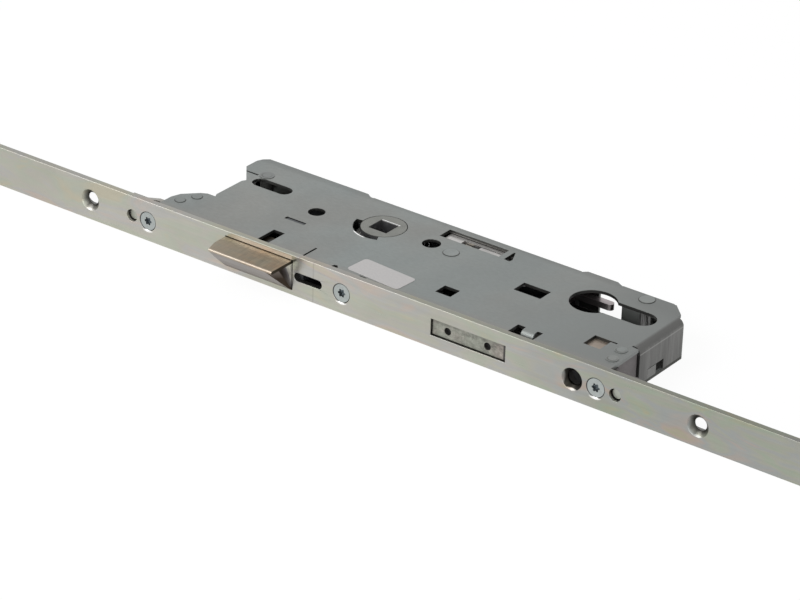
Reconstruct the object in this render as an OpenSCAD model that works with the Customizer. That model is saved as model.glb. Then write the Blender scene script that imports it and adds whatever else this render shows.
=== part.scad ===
// Multipoint door lock: lock case, flat faceplate, latch, deadbolt and two roller locking points.
// X runs along the faceplate, up the door towards -X and down the door towards +X.
// Y runs from the faceplate into the door, and Z is the spindle axis.
// The origin is on the spindle axis, half way through the case. All sizes are in millimetres.

/* [Faceplate] */
// Width of the faceplate
face_w = 16; // [16:0.5:20]
// Thickness of the faceplate
face_t = 2.5; // [2.5:0.1:3]
// Length from the spindle to the upper end of the faceplate
upper_len = 285; // [275:5:900]
// Length from the spindle to the lower end of the faceplate
lower_len = 315; // [310:5:900]
// Distance from the faceplate's front face to the spindle
backset = 40; // [40:0.5:45]
// Distance from each end of the faceplate to its fixing hole
end_fix = 12; // [10:1:16]
// Upper fixing hole near the case, from the spindle
fix_up = 106.3; // [104:0.1:110]
// Lower fixing hole near the case, from the spindle
fix_low = 161.5; // [158:0.1:166]
// Clear diameter of the fixing holes
fix_d = 4.8; // [4.5:0.1:5.2]
// Diameter of the countersinks for the fixing screws
fix_head_d = 8.6; // [8:0.1:9]

/* [Case] */
// Height of the case across both plates, along the spindle
case_h = 15.5; // [15:0.1:16]
// Thickness of the sheet metal
sheet_t = 1.2; // [1:0.1:1.4]
// Distance from the spindle to the case's upper edge
case_up = 63.5; // [63:0.1:65]
// Distance from the end of the cylinder hole to the outside of the lower end wall
case_end = 6.3; // [5.5:0.1:8]
// Distance from the spindle to the outside of the rear wall
case_rear = 17.9; // [17.5:0.1:18.3]
// Outer radius of the bends between the cover and its rear walls
bend_r = 1.8; // [1.6:0.1:2.2]
// Outer radius of the bend at the lower end of the cover
end_bend_r = 2.7; // [2.4:0.1:3]

/* [Cylinder and spindle] */
// Distance from the spindle to the middle of the cylinder hole
cyl_dist = 92; // [92:0.5:94]
// Diameter of the round part of the cylinder hole
cyl_d = 17.5; // [17.3:0.1:17.8]
// Width of the slot below the round part of the cylinder hole
cyl_slot_w = 10.2; // [10:0.1:10.6]
// Distance from the middle of the cylinder hole to the end of its slot
cyl_slot_len = 25.7; // [25.2:0.1:26]
// Distance from the middle of the cylinder hole to the cylinder's fixing screw
cyl_screw_dist = 18.5; // [18:0.1:19]
// Diameter of the hole for the cylinder's fixing screw
cyl_screw_d = 5.4; // [5.2:0.1:5.6]
// Width of the square spindle hole
spindle_w = 8.1; // [8:0.05:8.3]
// Diameter of the follower's collars
collar_d = 17; // [16.6:0.1:17.2]
// Distance from the spindle to the through hole for a handle screw
rose_dist = 21.5; // [21.5:0.1:22]
// Diameter of that through hole
rose_d = 7; // [6.6:0.1:7.2]

/* [Latch] */
// Distance from the spindle to the middle of the latch bolt
latch_dist = 26.2; // [26:0.1:26.8]
// Length of the latch bolt along the faceplate
latch_len = 30.4; // [29.6:0.1:31]
// Height of the latch bolt across the faceplate
latch_h = 11.6; // [11:0.1:11.8]
// How far the latch bolt stands out of the faceplate
latch_out = 12; // [11.5:0.1:12.5]
// Turn of the follower that draws the latch in
handle_turn = 35; // [30:1:35]
// Radius from the spindle to the tip of the follower's latch arm
arm_r = 20.5; // [20.2:0.1:20.8]

/* [Deadbolt] */
// Distance from the spindle to the middle of the deadbolt
bolt_dist = 66.7; // [66.5:0.1:67.2]
// Length of the deadbolt along the faceplate
bolt_len = 31.4; // [30:0.1:31.6]
// Thickness of the deadbolt
bolt_t = 5.9; // [5.6:0.1:6.2]
// Throw of the deadbolt
bolt_throw = 20; // [18:0.5:20]

/* [Drive] */
// Travel of the drive plate and rods along the door
drive_travel = 20; // [18:0.5:20]
// Thickness of the drive plate and of the rear slide
drive_t = 2; // [1.8:0.1:2.1]
// Width of the drive rods
rod_w = 12; // [11.6:0.1:12.4]
// Thickness of the drive rods
rod_t = 2.4; // [2.2:0.1:2.6]
// Distance from the faceplate's upper end to the upper roller
roller_end_up = 60; // [55:1:65]
// Distance from the faceplate's lower end to the lower roller
roller_end_low = 50; // [46:1:53]
// Diameter of the rollers
roller_d = 12; // [10:0.5:14]
// Diameter of the roller studs
stud_d = 6; // [5:0.1:6.4]
// Distance from each roller to its rod guide, towards the case
guide_step = 42; // [40:0.5:43]

/* [Clearances] */
// Gap between pieces that move past each other
run_gap = 0.3; // [0.2:0.05:0.4]
// Radial gap of a piece that turns on its pin
turn_gap = 0.05; // [0.02:0.01:0.1]
// Gap around pieces that are fixed together
fix_gap = 0.1; // [0.05:0.05:0.15]

/* [Hidden] */
$fn = 48;
over = 1;

// Faces of the faceplate and of the case
face_front = -backset;
face_back = face_front + face_t;
case_top = case_h / 2;
case_in = case_top - sheet_t;
wall_in = case_rear - sheet_t;
rear_flat = case_rear - bend_r;
case_down = cyl_dist + cyl_slot_len + case_end;

// Openings of the faceplate, and the sides of the latch guide
latch_side_gap = 0.35;
latch_opening_len = latch_len + 2 * latch_side_gap;
latch_slot_len = 12.5;
latch_slot_w = 3.4;
latch_slot_web = 0.7;
latch_slot_x = -latch_dist + latch_opening_len / 2 + latch_slot_web + latch_slot_len / 2;
guide_x0 = -latch_dist - latch_len / 2 - 3;
guide_x1 = -latch_dist + latch_len / 2 + 3.3;

// Walls and outline of the case
wall_h = case_h - sheet_t;
rear_wall_a = [-17.2, 75.2];
rear_wall_b = [case_down - 30.6, case_down - 9.4];
base_wall_a = [-66.5, -20.8];
base_wall_b = [rear_wall_a[1] + fix_gap, cyl_dist - 8.4];
end_wall_y = [-18.6, 9];
end_relief = 3;
corner_x = 70;
ear_x = 75;
relief_w = 0.8;
rear_relief = rear_flat + 0.2;
end_notch_y = -13.2;
end_notch_w = 10.2;
end_notch_h = 3.9;
curl_x = [84.8, 89.8];
base_tab_w = 5.4;
base_tab_h = end_notch_h - 0.2;

// Windows of the cover: corner in X and Y, then length in X and in Y
slide_slot_at = [-51.75, 0];
slide_slot = [17.5, 6.4];
guide_hole_at = [-26, -6.3];
guide_hole_d = 6.5;
small_slit = [-69, 3.9, 7.1, 0.9];
latch_window = [-29, face_back, 5, 9.9];
guide_slit = [-32, -17.9, 9, 1.8];
cheek_slit = [guide_x1 - 0.7, face_back, 0.8, 8];
front_notch = [17, face_back, 3, 0.8];
slide_window = [20, 7, 26.3, 6.5];
bolt_window = [44.7, -29.5, 6.6, 6];
pin_window = [65, -10.5, 11.5, 6.8];
curl_window = [81.5, face_back, 10.5, 6.5];
bracket_window = [case_down - 17.4, -28, 6.9, 7.5];
bracket_slit = [case_down - 17.4, -21.3, 9.4, 0.8];
curl_r = 2.4;
curl_y = -32;

// Pillars between the plates, and a short stub that holds the drive plate down
pillar_x = 31.3;
pillar_y = -1.5;
pillar_d = 6;
rear_pillar_d = 4.4;
rear_pillar = [case_down - 18.2, 13.2];
stub_at = [-59, 6];
stub_d = 5;
stub_low = -3.9;
neck_d = 3.6;
stake_d = 5.7;
stake_t = 0.2;
cover_necks = [[pillar_x, pillar_y], rear_pillar, stub_at];
base_necks = [[pillar_x, pillar_y], rear_pillar];

// Screws and studs through the faceplate
screw_up = 78.4;
screw_mid = 11.3;
screw_low = case_down - 3.8;
screw_d = 4.4;
screw_head_d = 7;
screw_sink_d = 7.8;
screw_drop = 0.25;
screw_hole_d = screw_d + 2 * fix_gap;
stud_up = 86;
stud_low = case_down + 4.2;
stud_hole_d = 4.8;
locator_d = 3.8;
locator_recess = 1.6;
recess_d = 3.4;
recess_depth = 1.6;
cyl_screw_x = cyl_dist + cyl_screw_dist;

// Brackets and their rivets
bracket_t = 2;
rivet_d = 3;
rivet_head_up = 3.8;
rivet_head_low = 4.6;
upper_leg_x1 = stud_up + 5;
upper_flange_x0 = case_up + 1;
upper_flange_x1 = ear_x - 0.5;
upper_flange_y = -22.2;
upper_leg_low = -3.6;
lower_leg_x0 = cyl_screw_x + 5.1;
lower_leg_x1 = stud_low + 5.3;
lower_flange_x0 = case_down - 19;
lower_flange_x1 = case_down - 0.6;
lower_flange_y = -19.6;
lower_leg_low = -6.2;
leg_out_top = 5.1;
leg_slope_run = 6;
leg_slope_reach = 16;
upper_slope_gap = 3.5;
upper_cut = [[-ear_x - 1, -30], [-ear_x - 1, -20], [-ear_x + 7.8, -20]];
web_tail_y = -13;
web_tail_top = case_in - end_bend_r + sheet_t;
bracket_rivet_at = [[-67.5, -24.7], [-70.5, -30.8], [case_down - 4.4, -24], [case_down - 3.4, -31]];

// Rollers, and the rods behind the faceplate
roller_up = upper_len - roller_end_up;
roller_low = lower_len - roller_end_low;
guide_up = roller_up - guide_step;
guide_low = roller_low - guide_step;
rod_front = face_back + run_gap;
rod_back = rod_front + rod_t;
leg_front = rod_back + run_gap;
leg_back = leg_front + bracket_t;
rod_slot_w = 7;
rod_slot_gap = 0.4;
fix_sight = 3;
rod_end_gap = 5;
upper_rod_far = -(upper_len - end_fix - fix_head_d / 2 - rod_end_gap) + drive_travel;
upper_rod_near = guide_x0 - 0.6;
lower_rod_near = cyl_screw_x - 7.1;
lower_rod_far = lower_len - end_fix - fix_head_d / 2 - rod_end_gap - 12;
arm_x1 = guide_x0 - 0.8;
arm_x0 = arm_x1 - 8;
rod_tab_len = 5;
rod_tab_x = arm_x1 - 1.8 - rod_tab_len;
low_tab_x = lower_rod_near + 0.6;
low_tab_len = 3;

// Levels of the moving plates inside the case
plate_low = -case_in + 0.2;
plate_top = plate_low + drive_t;
slide_top = case_in - 0.25;
slide_low = slide_top - drive_t;

// Block behind the middle screw, latch liner and label
block_rear = -28;
liner_depth = 7;
label_l = 23.7;
label_w = 10.7;
label_r = 1.5;
label_t = 0.12;
label_turn = -4.2;
label_at = [22.2, -31];

// Follower
collar_hole_d = collar_d + 2 * run_gap;
disc_d = 21.6;
disc_top = 3.9;
lobe_r = 11.4;
arm_t = 5.6;
arm_w = 5;
tip_r = 2;
arm_a = 180 + handle_turn;
elbow_r = 15;
elbow_a = arm_a + 22;
back_arm_r = 13;
back_tip_r = 1.8;
disc_flat_y = 6.6;
back_arm_a = 120;
latch_travel = arm_r * sin(handle_turn);

// Latch
latch_opening_h = latch_h + 2 * 0.2;
latch_nose = face_front - latch_out;
nose_t = 1.2;
nose_cut = [1.6, 5.5];
end_bevel = [0, 26.1, -42.3];
head_depth = 10.1;
head_rear = face_front + head_depth;
shank_w = 7;
shank_t = 5.8;
shank_in = 6;
bar_front = arm_r * sin(arm_a) + tip_r + run_gap;
bar_t = 3;
bar_rear = bar_front + bar_t;
bar_x0 = -36;
bar_x1 = -13;
tail_d = 3.4;
seat_front = 11.9;
seat_t = 2;
tail_end = 4.6;
latch_pin_d = 3;
guide_t = 1.2;
guide_rear = head_rear + latch_travel + 0.6;
guide_tab_x = [-31.5, -23.5];
elbow_front = elbow_r * sin(elbow_a) - arm_w / 2;

// Springs
latch_wire = 0.4;
latch_coil_r = 2.9;
latch_turns = 6;
back_wire = 0.35;
back_coil_r = 2.1;
back_turns = 9;
rings_per_turn = 8;
wire_sides = 6;

// Deadbolt and its drive
bolt_face_gap = 0.9;
bolt_window_gap = 0.3;
bolt_rear = -4.2;
pin_d = 5;
pin_x = 68;
pin_y = -8;
pin_top = 4.4;
insert_d = 2.9;
insert_dx = [-9.2, 7.8];
insert_depth = 12;
insert_recess = 1.4;

// Drive plate outline
spine_front = 9.3;
spine_rear = wall_in - 0.9;
plate_front = leg_front;
body_x0 = 46;
notch_x1 = pillar_x + pillar_d / 2 + drive_travel + 0.6;
spine_x1 = 74;
body_x1 = 76;
notch_y0 = pillar_y - pillar_d / 2 - 1.2;
notch_y1 = pillar_y + pillar_d / 2 + 2.9;
strip_x0 = body_x1 + 8;
strip_x1 = cyl_screw_x - 0.5;
strip_y1 = -17.8;
body_y1 = strip_y1 + 7.8;
corner_y = 2;

// Rear slide and its tongue
slide_x0 = 20.8;
relief_x0 = 27.9;
relief_x1 = 66;
relief_y = 11.6;
riser_x1 = spine_x1;
tongue_x1 = cyl_dist - 0.4;
tongue_y0 = 12.5;
tongue_w = 3;
tongue_low = -1.5;
tongue_t = 2.4;
slide_rivet_d = 3;
slide_rivet_x = [68.2, 71.8];

// Tumbler
tumbler_t = 1.8;
tumbler_top = case_in - 0.3;
boss_r = 5;
nose_x0 = 35.6;
nose_x1 = 44.9;
nose_y = 11.2;
lug_x = [28.4, 31.6];
lug_y = 3;
lug_drop = 0.9;
arm_low_y = 2.2;
arm_end_x = 78;
leaf_t = 0.4;
leaf_foot = [54.5, -12.5];
leaf_at = [[57.5, -10.5], [63.5, 0.4], [66.5, 1.95]];

// Rollers
roller_len = 9.4;
roller_front = face_front - 0.4;
head_t = 1.4;
head_d = 9;
stud_slot_w = stud_d + 0.6;
guide_d = 6;
guide_washer_d = 11;
guide_washer_t = 1.2;
guide_rivet_d = 5;

// Ring of hexagon points around one point of a spring's wire
// r is the radius of the wire's path, a its angle, z its height and b the section's second axis
function ring(r, a, z, b, w) =
    let (e = [cos(a), sin(a), 0])
    [for (k = [0 : wire_sides - 1])
        [r * e[0], r * e[1], z]
        + w * cos(k * 360 / wire_sides) * e
        + w * sin(k * 360 / wire_sides) * b];

// Heights and angles of the rings between the straight ends
function wire_rings(r, w, turns, len) =
    let (n = turns * rings_per_turn, z0 = 2 * w, z1 = len - 2 * w)
    concat(
        [ring(r, 0, 0, [0, 1, 0], w), ring(r, 0, z0, [0, 1, -1], w)],
        [for (i = [1 : n - 1])
            let (a = i * 360 / rings_per_turn)
            ring(r, a, z0 + (z1 - z0) * i / n, [0, 0, -1], w)],
        [ring(r, n * 360 / rings_per_turn, z1, [0, 1, -1], w),
         ring(r, n * 360 / rings_per_turn, len, [0, 1, 0], w)]);

// Least gap between the wire's own turns, measured between points a turn or more apart
function wire_gap(r, w, turns, len) =
    let (n = turns * rings_per_turn, z0 = 2 * w, step = (len - 4 * w) / n,
        p = [for (i = [0 : n]) let (a = i * 360 / rings_per_turn)
            [r * cos(a), r * sin(a), z0 + step * i]])
    min([for (i = [0 : n]) for (j = [i + rings_per_turn - 1 : n]) norm(p[i] - p[j])]) - 2 * w;

module spring(r, w, turns, len) {
    rings = wire_rings(r, w, turns, len);
    m = len(rings);
    s = wire_sides;
    points = [for (q = rings) for (p = q) p];
    sides = [for (i = [0 : m - 2]) for (k = [0 : s - 1])
        let (k2 = (k + 1) % s)
        each [[i * s + k, (i + 1) * s + k, i * s + k2], [i * s + k2, (i + 1) * s + k, (i + 1) * s + k2]]];
    first = [for (k = [1 : s - 2]) [0, k, k + 1]];
    last = [for (k = [1 : s - 2]) [(m - 1) * s, (m - 1) * s + k + 1, (m - 1) * s + k]];
    polyhedron(points, concat(sides, first, last));
}

// Flat slot with round ends along X
module obround(l, w) {
    square([l - w, w], center = true);
    for (s = [-1, 1]) translate([s * (l - w) / 2, 0]) circle(d = w);
}

// A flat shape drawn in X and Z, from depth y forwards by t
module upright(y, t) {
    translate([0, y, 0]) rotate([90, 0, 0]) linear_extrude(t) children();
}

// A straight hole or pin along Y, from y0 to y1
module along_y(x, z, y0, y1, d) {
    translate([x, y0, z]) rotate([-90, 0, 0]) cylinder(d = d, h = y1 - y0);
}

// Hole through the faceplate with a countersink at its front
module countersunk(x, d, head_d) {
    along_y(x, 0, face_front - over, face_back + over, d);
    translate([x, face_front, 0]) rotate([-90, 0, 0])
        cylinder(d1 = head_d, d2 = d, h = (head_d - d) / 2);
}

module faceplate() {
    color("Gainsboro") difference() {
        upright(face_back, face_t) translate([(lower_len - upper_len) / 2, 0])
            obround(upper_len + lower_len, face_w);
        for (x = [-upper_len + end_fix, -fix_up, fix_low, lower_len - end_fix])
            countersunk(x, fix_d, fix_head_d);
        for (x = [-screw_up, screw_mid, screw_low])
            countersunk(x, screw_hole_d, screw_sink_d);
        countersunk(cyl_screw_x, cyl_screw_d, fix_head_d);
        for (x = [-stud_up, stud_low]) along_y(x, 0, face_front - over, face_back + over, stud_hole_d);
        for (x = [-guide_up, guide_low])
            along_y(x, 0, face_front - over, face_back + over, guide_rivet_d);
        upright(face_back + over, face_t + 2 * over) {
            translate([-latch_dist, 0]) square([latch_opening_len, latch_opening_h], center = true);
            translate([bolt_dist, 0])
                square([bolt_len + 2 * bolt_window_gap, bolt_t + 2 * bolt_window_gap], center = true);
            translate([latch_slot_x, 0]) obround(latch_slot_len, latch_slot_w);
            for (x = [-roller_up, roller_low])
                translate([x - drive_travel / 2, 0]) obround(drive_travel + stud_slot_w, stud_slot_w);
        }
    }
}

// Section across a bent edge: the outer corner is at the origin and the wall hangs down
module bend_section(h, r) {
    difference() {
        union() {
            translate([-r, -r]) circle(r);
            translate([-r, -h]) square([r, h - r]);
        }
        translate([-r, -r]) circle(r - sheet_t);
        translate([-r - over, -h - over]) square([r + over - sheet_t, h - r + over]);
        translate([-2 * r - over, -h - over]) square([r + over, h + 2 * over]);
    }
}

// Wall bent from a plate's rear edge, drawn here for the cover
module rear_bend(x0, x1) {
    translate([x0, case_rear, case_top]) rotate([90, 0, 90])
        linear_extrude(x1 - x0) bend_section(wall_h, bend_r);
}

module cover_outline() {
    end_flat = case_down - end_bend_r;
    polygon([
        [-ear_x, face_back], [-ear_x, -30.5], [-ear_x + 1.3, -26.6], [-68.6, -21.3], [-66.2, -20],
        [-case_up + 0.9, -20], [-case_up, -18.4], [-case_up, -3.6], [-case_up + 0.9, -1.9],
        [-corner_x, 7.4], [-corner_x, 13.6], [-corner_x + 0.9, 16],
        [-corner_x + 3, case_rear], [-20.6, case_rear],
        [rear_wall_a[0] - relief_w - 0.9, case_rear - 1.2], [rear_wall_a[0] - relief_w, rear_relief],
        [rear_wall_a[0], rear_relief], [rear_wall_a[0], rear_flat], [rear_wall_a[1], rear_flat],
        [rear_wall_a[1], rear_relief], [rear_wall_a[1] + relief_w, rear_relief],
        [rear_wall_a[1] + relief_w + 1.7, case_rear], [rear_wall_b[0] - 3, case_rear],
        [rear_wall_b[0] - relief_w, case_rear - 1.2], [rear_wall_b[0], rear_relief],
        [rear_wall_b[0], rear_flat], [rear_wall_b[1], rear_flat], [rear_wall_b[1], rear_relief],
        [rear_wall_b[1] + 1.6, rear_relief], [end_flat, end_wall_y[1] + 0.8 * end_bend_r],
        [end_flat, end_wall_y[0]],
        [case_down - end_relief, end_wall_y[0]], [case_down - end_relief, end_wall_y[0] - relief_w],
        [case_down, end_wall_y[0] - relief_w - 0.4], [case_down + 0.2, face_back]
    ]);
}

// Opening for a profile cylinder: a round hole and a slot with a round end
module cylinder_outline() {
    translate([cyl_dist, 0]) {
        circle(d = cyl_d);
        translate([0, -cyl_slot_w / 2]) square([cyl_slot_len - cyl_slot_w / 2, cyl_slot_w]);
        translate([cyl_slot_len - cyl_slot_w / 2, 0]) circle(d = cyl_slot_w);
    }
}

// Part of a ring around the spindle that leaves room to see and reach the follower's arm
module lobe_outline() {
    intersection() {
        circle(lobe_r);
        polygon([[0, 0], [-20, -2.2], [-20, -20], [9, -20]]);
    }
}

// Windows and holes that the cover has and the base hasn't
module window(w) {
    translate([w[0], w[1]]) square([w[2], w[3]]);
}

module cover_windows() {
    translate(slide_slot_at) obround(slide_slot[0], slide_slot[1]);
    translate(guide_hole_at) circle(d = guide_hole_d);
    for (w = [small_slit, latch_window, guide_slit, cheek_slit, front_notch, slide_window,
              bolt_window, pin_window, curl_window, bracket_window, bracket_slit])
        window(w);
    polygon([[4.4, face_back], [7.6, face_back], [6.2, -35.6], [5, -35.8]]);
    polygon([[48.7, 13.3], [49.3, 13.3], [51.6, 8], [51.4, 6.4], [48.8, 6.6]]);
}

// Strip of the cover that is curled down inside its front window
module window_curl() {
    translate([curl_x[0], 0, 0]) rotate([90, 0, 90]) linear_extrude(curl_x[1] - curl_x[0])
        difference() {
            translate([curl_y, case_top - curl_r]) intersection() {
                circle(curl_r);
                translate([-curl_r, 0]) square([curl_r, curl_r]);
            }
            translate([curl_y, case_top - curl_r]) circle(curl_r - sheet_t);
        }
    translate([curl_x[0], curl_y, case_in]) cube([curl_x[1] - curl_x[0], 1.4, sheet_t]);
    translate([curl_x[0], curl_y - curl_r, case_top - curl_r - 0.8])
        cube([curl_x[1] - curl_x[0], sheet_t, 0.8]);
}

module cover_rivet_holes() {
    for (p = bracket_rivet_at) translate(p) circle(d = rivet_d);
    for (p = cover_necks) translate(p) circle(d = neck_d);
}

module case_cover() {
    color("DarkGray") difference() {
        union() {
            translate([0, 0, case_in]) linear_extrude(sheet_t) difference() {
                cover_outline();
                circle(d = collar_hole_d);
                lobe_outline();
                cylinder_outline();
                translate([rose_dist, 0]) circle(d = rose_d);
                cover_windows();
                cover_rivet_holes();
            }
            rear_bend(rear_wall_a[0], rear_wall_a[1]);
            rear_bend(rear_wall_b[0], rear_wall_b[1]);
            translate([case_down, end_wall_y[1], case_top]) rotate([90, 0, 0])
                linear_extrude(end_wall_y[1] - end_wall_y[0]) bend_section(wall_h, end_bend_r);
            window_curl();
        }
        translate([case_down - sheet_t - over, end_notch_y, -case_in - over])
            cube([sheet_t + 2 * over, end_notch_w, end_notch_h + over]);
    }
}

upper_lip_w = 9.7;
upper_lip_h = 6.4;
module base_outline() {
    polygon([
        [-ear_x, face_back], [-ear_x, case_rear - 5], [-ear_x + 4, case_rear - 1],
        [base_wall_a[0], case_rear - 1], [base_wall_a[0], rear_flat], [base_wall_a[1], rear_flat],
        [base_wall_a[1], case_rear], [base_wall_b[0], case_rear], [base_wall_b[0], rear_flat],
        [base_wall_b[1], rear_flat], [base_wall_b[1], case_rear], [rear_wall_b[1], case_rear],
        [case_down, end_wall_y[1]], [case_down, face_back]
    ]);
}

module case_base() {
    color("Gray") {
        translate([0, 0, -case_top]) linear_extrude(sheet_t) difference() {
            base_outline();
            circle(d = collar_hole_d);
            cylinder_outline();
            translate([rose_dist, 0]) circle(d = rose_d);
            for (p = base_necks) translate(p) circle(d = neck_d);
            translate([pin_x, pin_y - bolt_throw / 2]) rotate(90)
                obround(bolt_throw + pin_d + 2 * run_gap, pin_d + 2 * run_gap);
        }
        for (w = [base_wall_a, base_wall_b]) mirror([0, 0, 1]) rear_bend(w[0], w[1]);
        translate([base_wall_a[0], wall_in - upper_lip_w, plate_low + drive_t + 0.45])
            cube([sheet_t, upper_lip_w + sheet_t / 2, upper_lip_h]);
        translate([case_down - sheet_t, end_notch_y + fix_gap, -case_in])
            cube([sheet_t, base_tab_w, base_tab_h]);
    }
}

// A pillar between two levels, with necks through the plates and a staked head on the cover
module pillar(at, d, low, neck_low) {
    translate([at[0], at[1], low]) cylinder(d = d, h = case_in - low);
    translate([at[0], at[1], neck_low]) cylinder(d = neck_d, h = case_top - neck_low);
    translate([at[0], at[1], case_top]) cylinder(d = stake_d, h = stake_t);
}

module spacer_pillars() {
    color("Silver") {
        pillar([pillar_x, pillar_y], pillar_d, -case_in, -case_top);
        pillar(rear_pillar, rear_pillar_d, -case_in, -case_top);
        pillar(stub_at, stub_d, stub_low, stub_low);
    }
}

// Angle bracket: a leg behind the rod, a flange under the cover and a web that joins them
module bracket(leg_x, flange_x, flange_y, web_x, low, screw_x, stud_x) {
    difference() {
        union() {
            translate([leg_x[0], leg_front, low]) cube([leg_x[1] - leg_x[0], bracket_t, case_in - low]);
            translate([flange_x[0], leg_front, case_in - bracket_t])
                cube([flange_x[1] - flange_x[0], flange_y - leg_front, bracket_t]);
            translate([web_x, leg_front, low]) cube([bracket_t, flange_y - leg_front, case_in - low]);
            along_y(screw_x, 0, leg_back, leg_back + 3, 7);
        }
        along_y(screw_x, 0, leg_front - over, leg_back + 3 + over, screw_hole_d);
        along_y(stud_x, 0, leg_front - over, leg_back + over, locator_d + 2 * fix_gap);
        for (p = bracket_rivet_at) translate([p[0], p[1], case_in - bracket_t - over / 2])
            cylinder(d = rivet_d, h = case_top);
    }
}

// Slope that takes the leg's upper corner away beyond the case, from x towards the side d
module leg_slope(x, d) {
    upright(leg_back + over, bracket_t + 2 * over)
        polygon([[x, case_in], [x + leg_slope_run * d, leg_out_top],
            [x + leg_slope_reach * d, leg_out_top], [x + leg_slope_reach * d, case_in + over],
            [x, case_in + over]]);
}

module upper_bracket() {
    color("RosyBrown") difference() {
        bracket([-upper_leg_x1, -upper_flange_x0], [-upper_flange_x1, -upper_flange_x0], upper_flange_y,
            -upper_flange_x1, upper_leg_low, -screw_up, -stud_up);
        leg_slope(-ear_x - upper_slope_gap, -1);
        translate([0, 0, -case_top]) linear_extrude(case_h) polygon(upper_cut);
    }
}

module lower_bracket() {
    color("RosyBrown") difference() {
        union() {
            bracket([lower_leg_x0, lower_leg_x1], [lower_flange_x0, lower_flange_x1], lower_flange_y,
                lower_flange_x1 - bracket_t, lower_leg_low, screw_low, stud_low);
            translate([case_down - sheet_t - run_gap - bracket_t, lower_flange_y - over, lower_leg_low])
                cube([bracket_t, web_tail_y - lower_flange_y + over, web_tail_top - lower_leg_low]);
        }
        leg_slope(lower_flange_x1, 1);
    }
}

module bracket_rivets() {
    color("Silver") for (p = bracket_rivet_at) translate([p[0], p[1], 0]) {
        translate([0, 0, case_in - bracket_t]) cylinder(d = rivet_d, h = bracket_t + sheet_t);
        translate([0, 0, case_top]) cylinder(d = p[0] < 0 ? rivet_head_up : rivet_head_low, h = stake_t);
    }
}

// Studs on the brackets that locate the faceplate
module locating_studs() {
    color("Silver") for (x = [-stud_up, stud_low]) {
        along_y(x, 0, face_front + locator_recess, leg_back, locator_d);
        along_y(x, 0, leg_back, leg_back + 1, locator_d + 2);
    }
}

// Six-lobed driver recess
module lobed_recess(d) {
    n = 6;
    intersection() {
        circle(d = d);
        union() {
            circle(d = d * 0.72);
            for (i = [0 : n - 1]) rotate(i * 360 / n) translate([d * 0.36, 0]) circle(d = d * 0.27);
        }
    }
}

module face_screw(x, y_end) {
    head_y = face_front + screw_drop;
    head_h = (screw_head_d - screw_d) / 2;
    difference() {
        union() {
            translate([x, head_y, 0]) rotate([-90, 0, 0])
                cylinder(d1 = screw_head_d, d2 = screw_d, h = head_h);
            along_y(x, 0, head_y + head_h, y_end, screw_d);
        }
        translate([x, head_y + recess_depth, 0]) rotate([90, 0, 0])
            linear_extrude(recess_depth + over) lobed_recess(recess_d);
    }
}

module face_screws() {
    color("Silver") {
        face_screw(-screw_up, leg_back + 3);
        face_screw(screw_mid, block_rear - 1);
        face_screw(screw_low, leg_back + 3);
    }
}

// Block that takes the middle screw
module screw_block() {
    color("DimGray") difference() {
        translate([screw_mid - 5.5, face_back, -case_in]) cube([11, block_rear - face_back, 2 * case_in]);
        along_y(screw_mid, 0, face_back - over, block_rear + over, screw_hole_d);
    }
}

// Sheet metal guide round the latch, with a tab in the cover and ears that stop latch and follower
module latch_guide() {
    color("SlateGray") difference() {
        union() {
            for (x = [guide_x0, guide_x1 - guide_t])
                translate([x, face_back, -case_in])
                    cube([guide_t, guide_rear + guide_t - face_back, 2 * case_in]);
            translate([guide_x0, guide_rear, -case_in])
                cube([guide_x1 - guide_x0, guide_t, 2 * case_in]);
            translate([guide_tab_x[0], guide_rear, case_in - over])
                cube([guide_tab_x[1] - guide_tab_x[0], guide_t, over + sheet_t - 0.3]);
            translate([bar_x0, guide_rear, -shank_t / 2])
                cube([3, bar_front - run_gap - guide_rear, shank_t]);
            translate([guide_x1 - 3, guide_rear, -arm_t / 2])
                cube([3, elbow_front - run_gap - guide_rear, arm_t]);
        }
        translate([-latch_dist - shank_w / 2 - run_gap, guide_rear - over, -shank_t / 2 - run_gap])
            cube([shank_w + 2 * run_gap, guide_t + 2 * over, shank_t + 2 * run_gap]);
    }
}

// Plastic liner on both sides of the latch bolt
module latch_liner() {
    side0 = -latch_dist - latch_len / 2 - run_gap;
    side1 = -latch_dist + latch_len / 2 + run_gap;
    color("LightSlateGray") {
        translate([guide_x0 + guide_t, face_back, -case_in])
            cube([side0 - guide_x0 - guide_t, liner_depth, 2 * case_in]);
        translate([side1, face_back, -case_in]) cube([guide_x1 - guide_t - side1, liner_depth, 2 * case_in]);
    }
}

// Bracket at the rear that the latch spring pushes against
module latch_spring_seat() {
    seat_w = 12;
    color("Silver") difference() {
        union() {
            translate([-latch_dist - seat_w / 2, seat_front, plate_top + 0.5])
                cube([seat_w, seat_t, case_in - plate_top - 0.5]);
            translate([-latch_dist - seat_w / 2, seat_front, case_in - seat_t])
                cube([seat_w, wall_in - run_gap - seat_front, seat_t]);
        }
        along_y(-latch_dist, 0, seat_front - over, seat_front + seat_t + over, tail_d + 2 * run_gap);
    }
}

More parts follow.
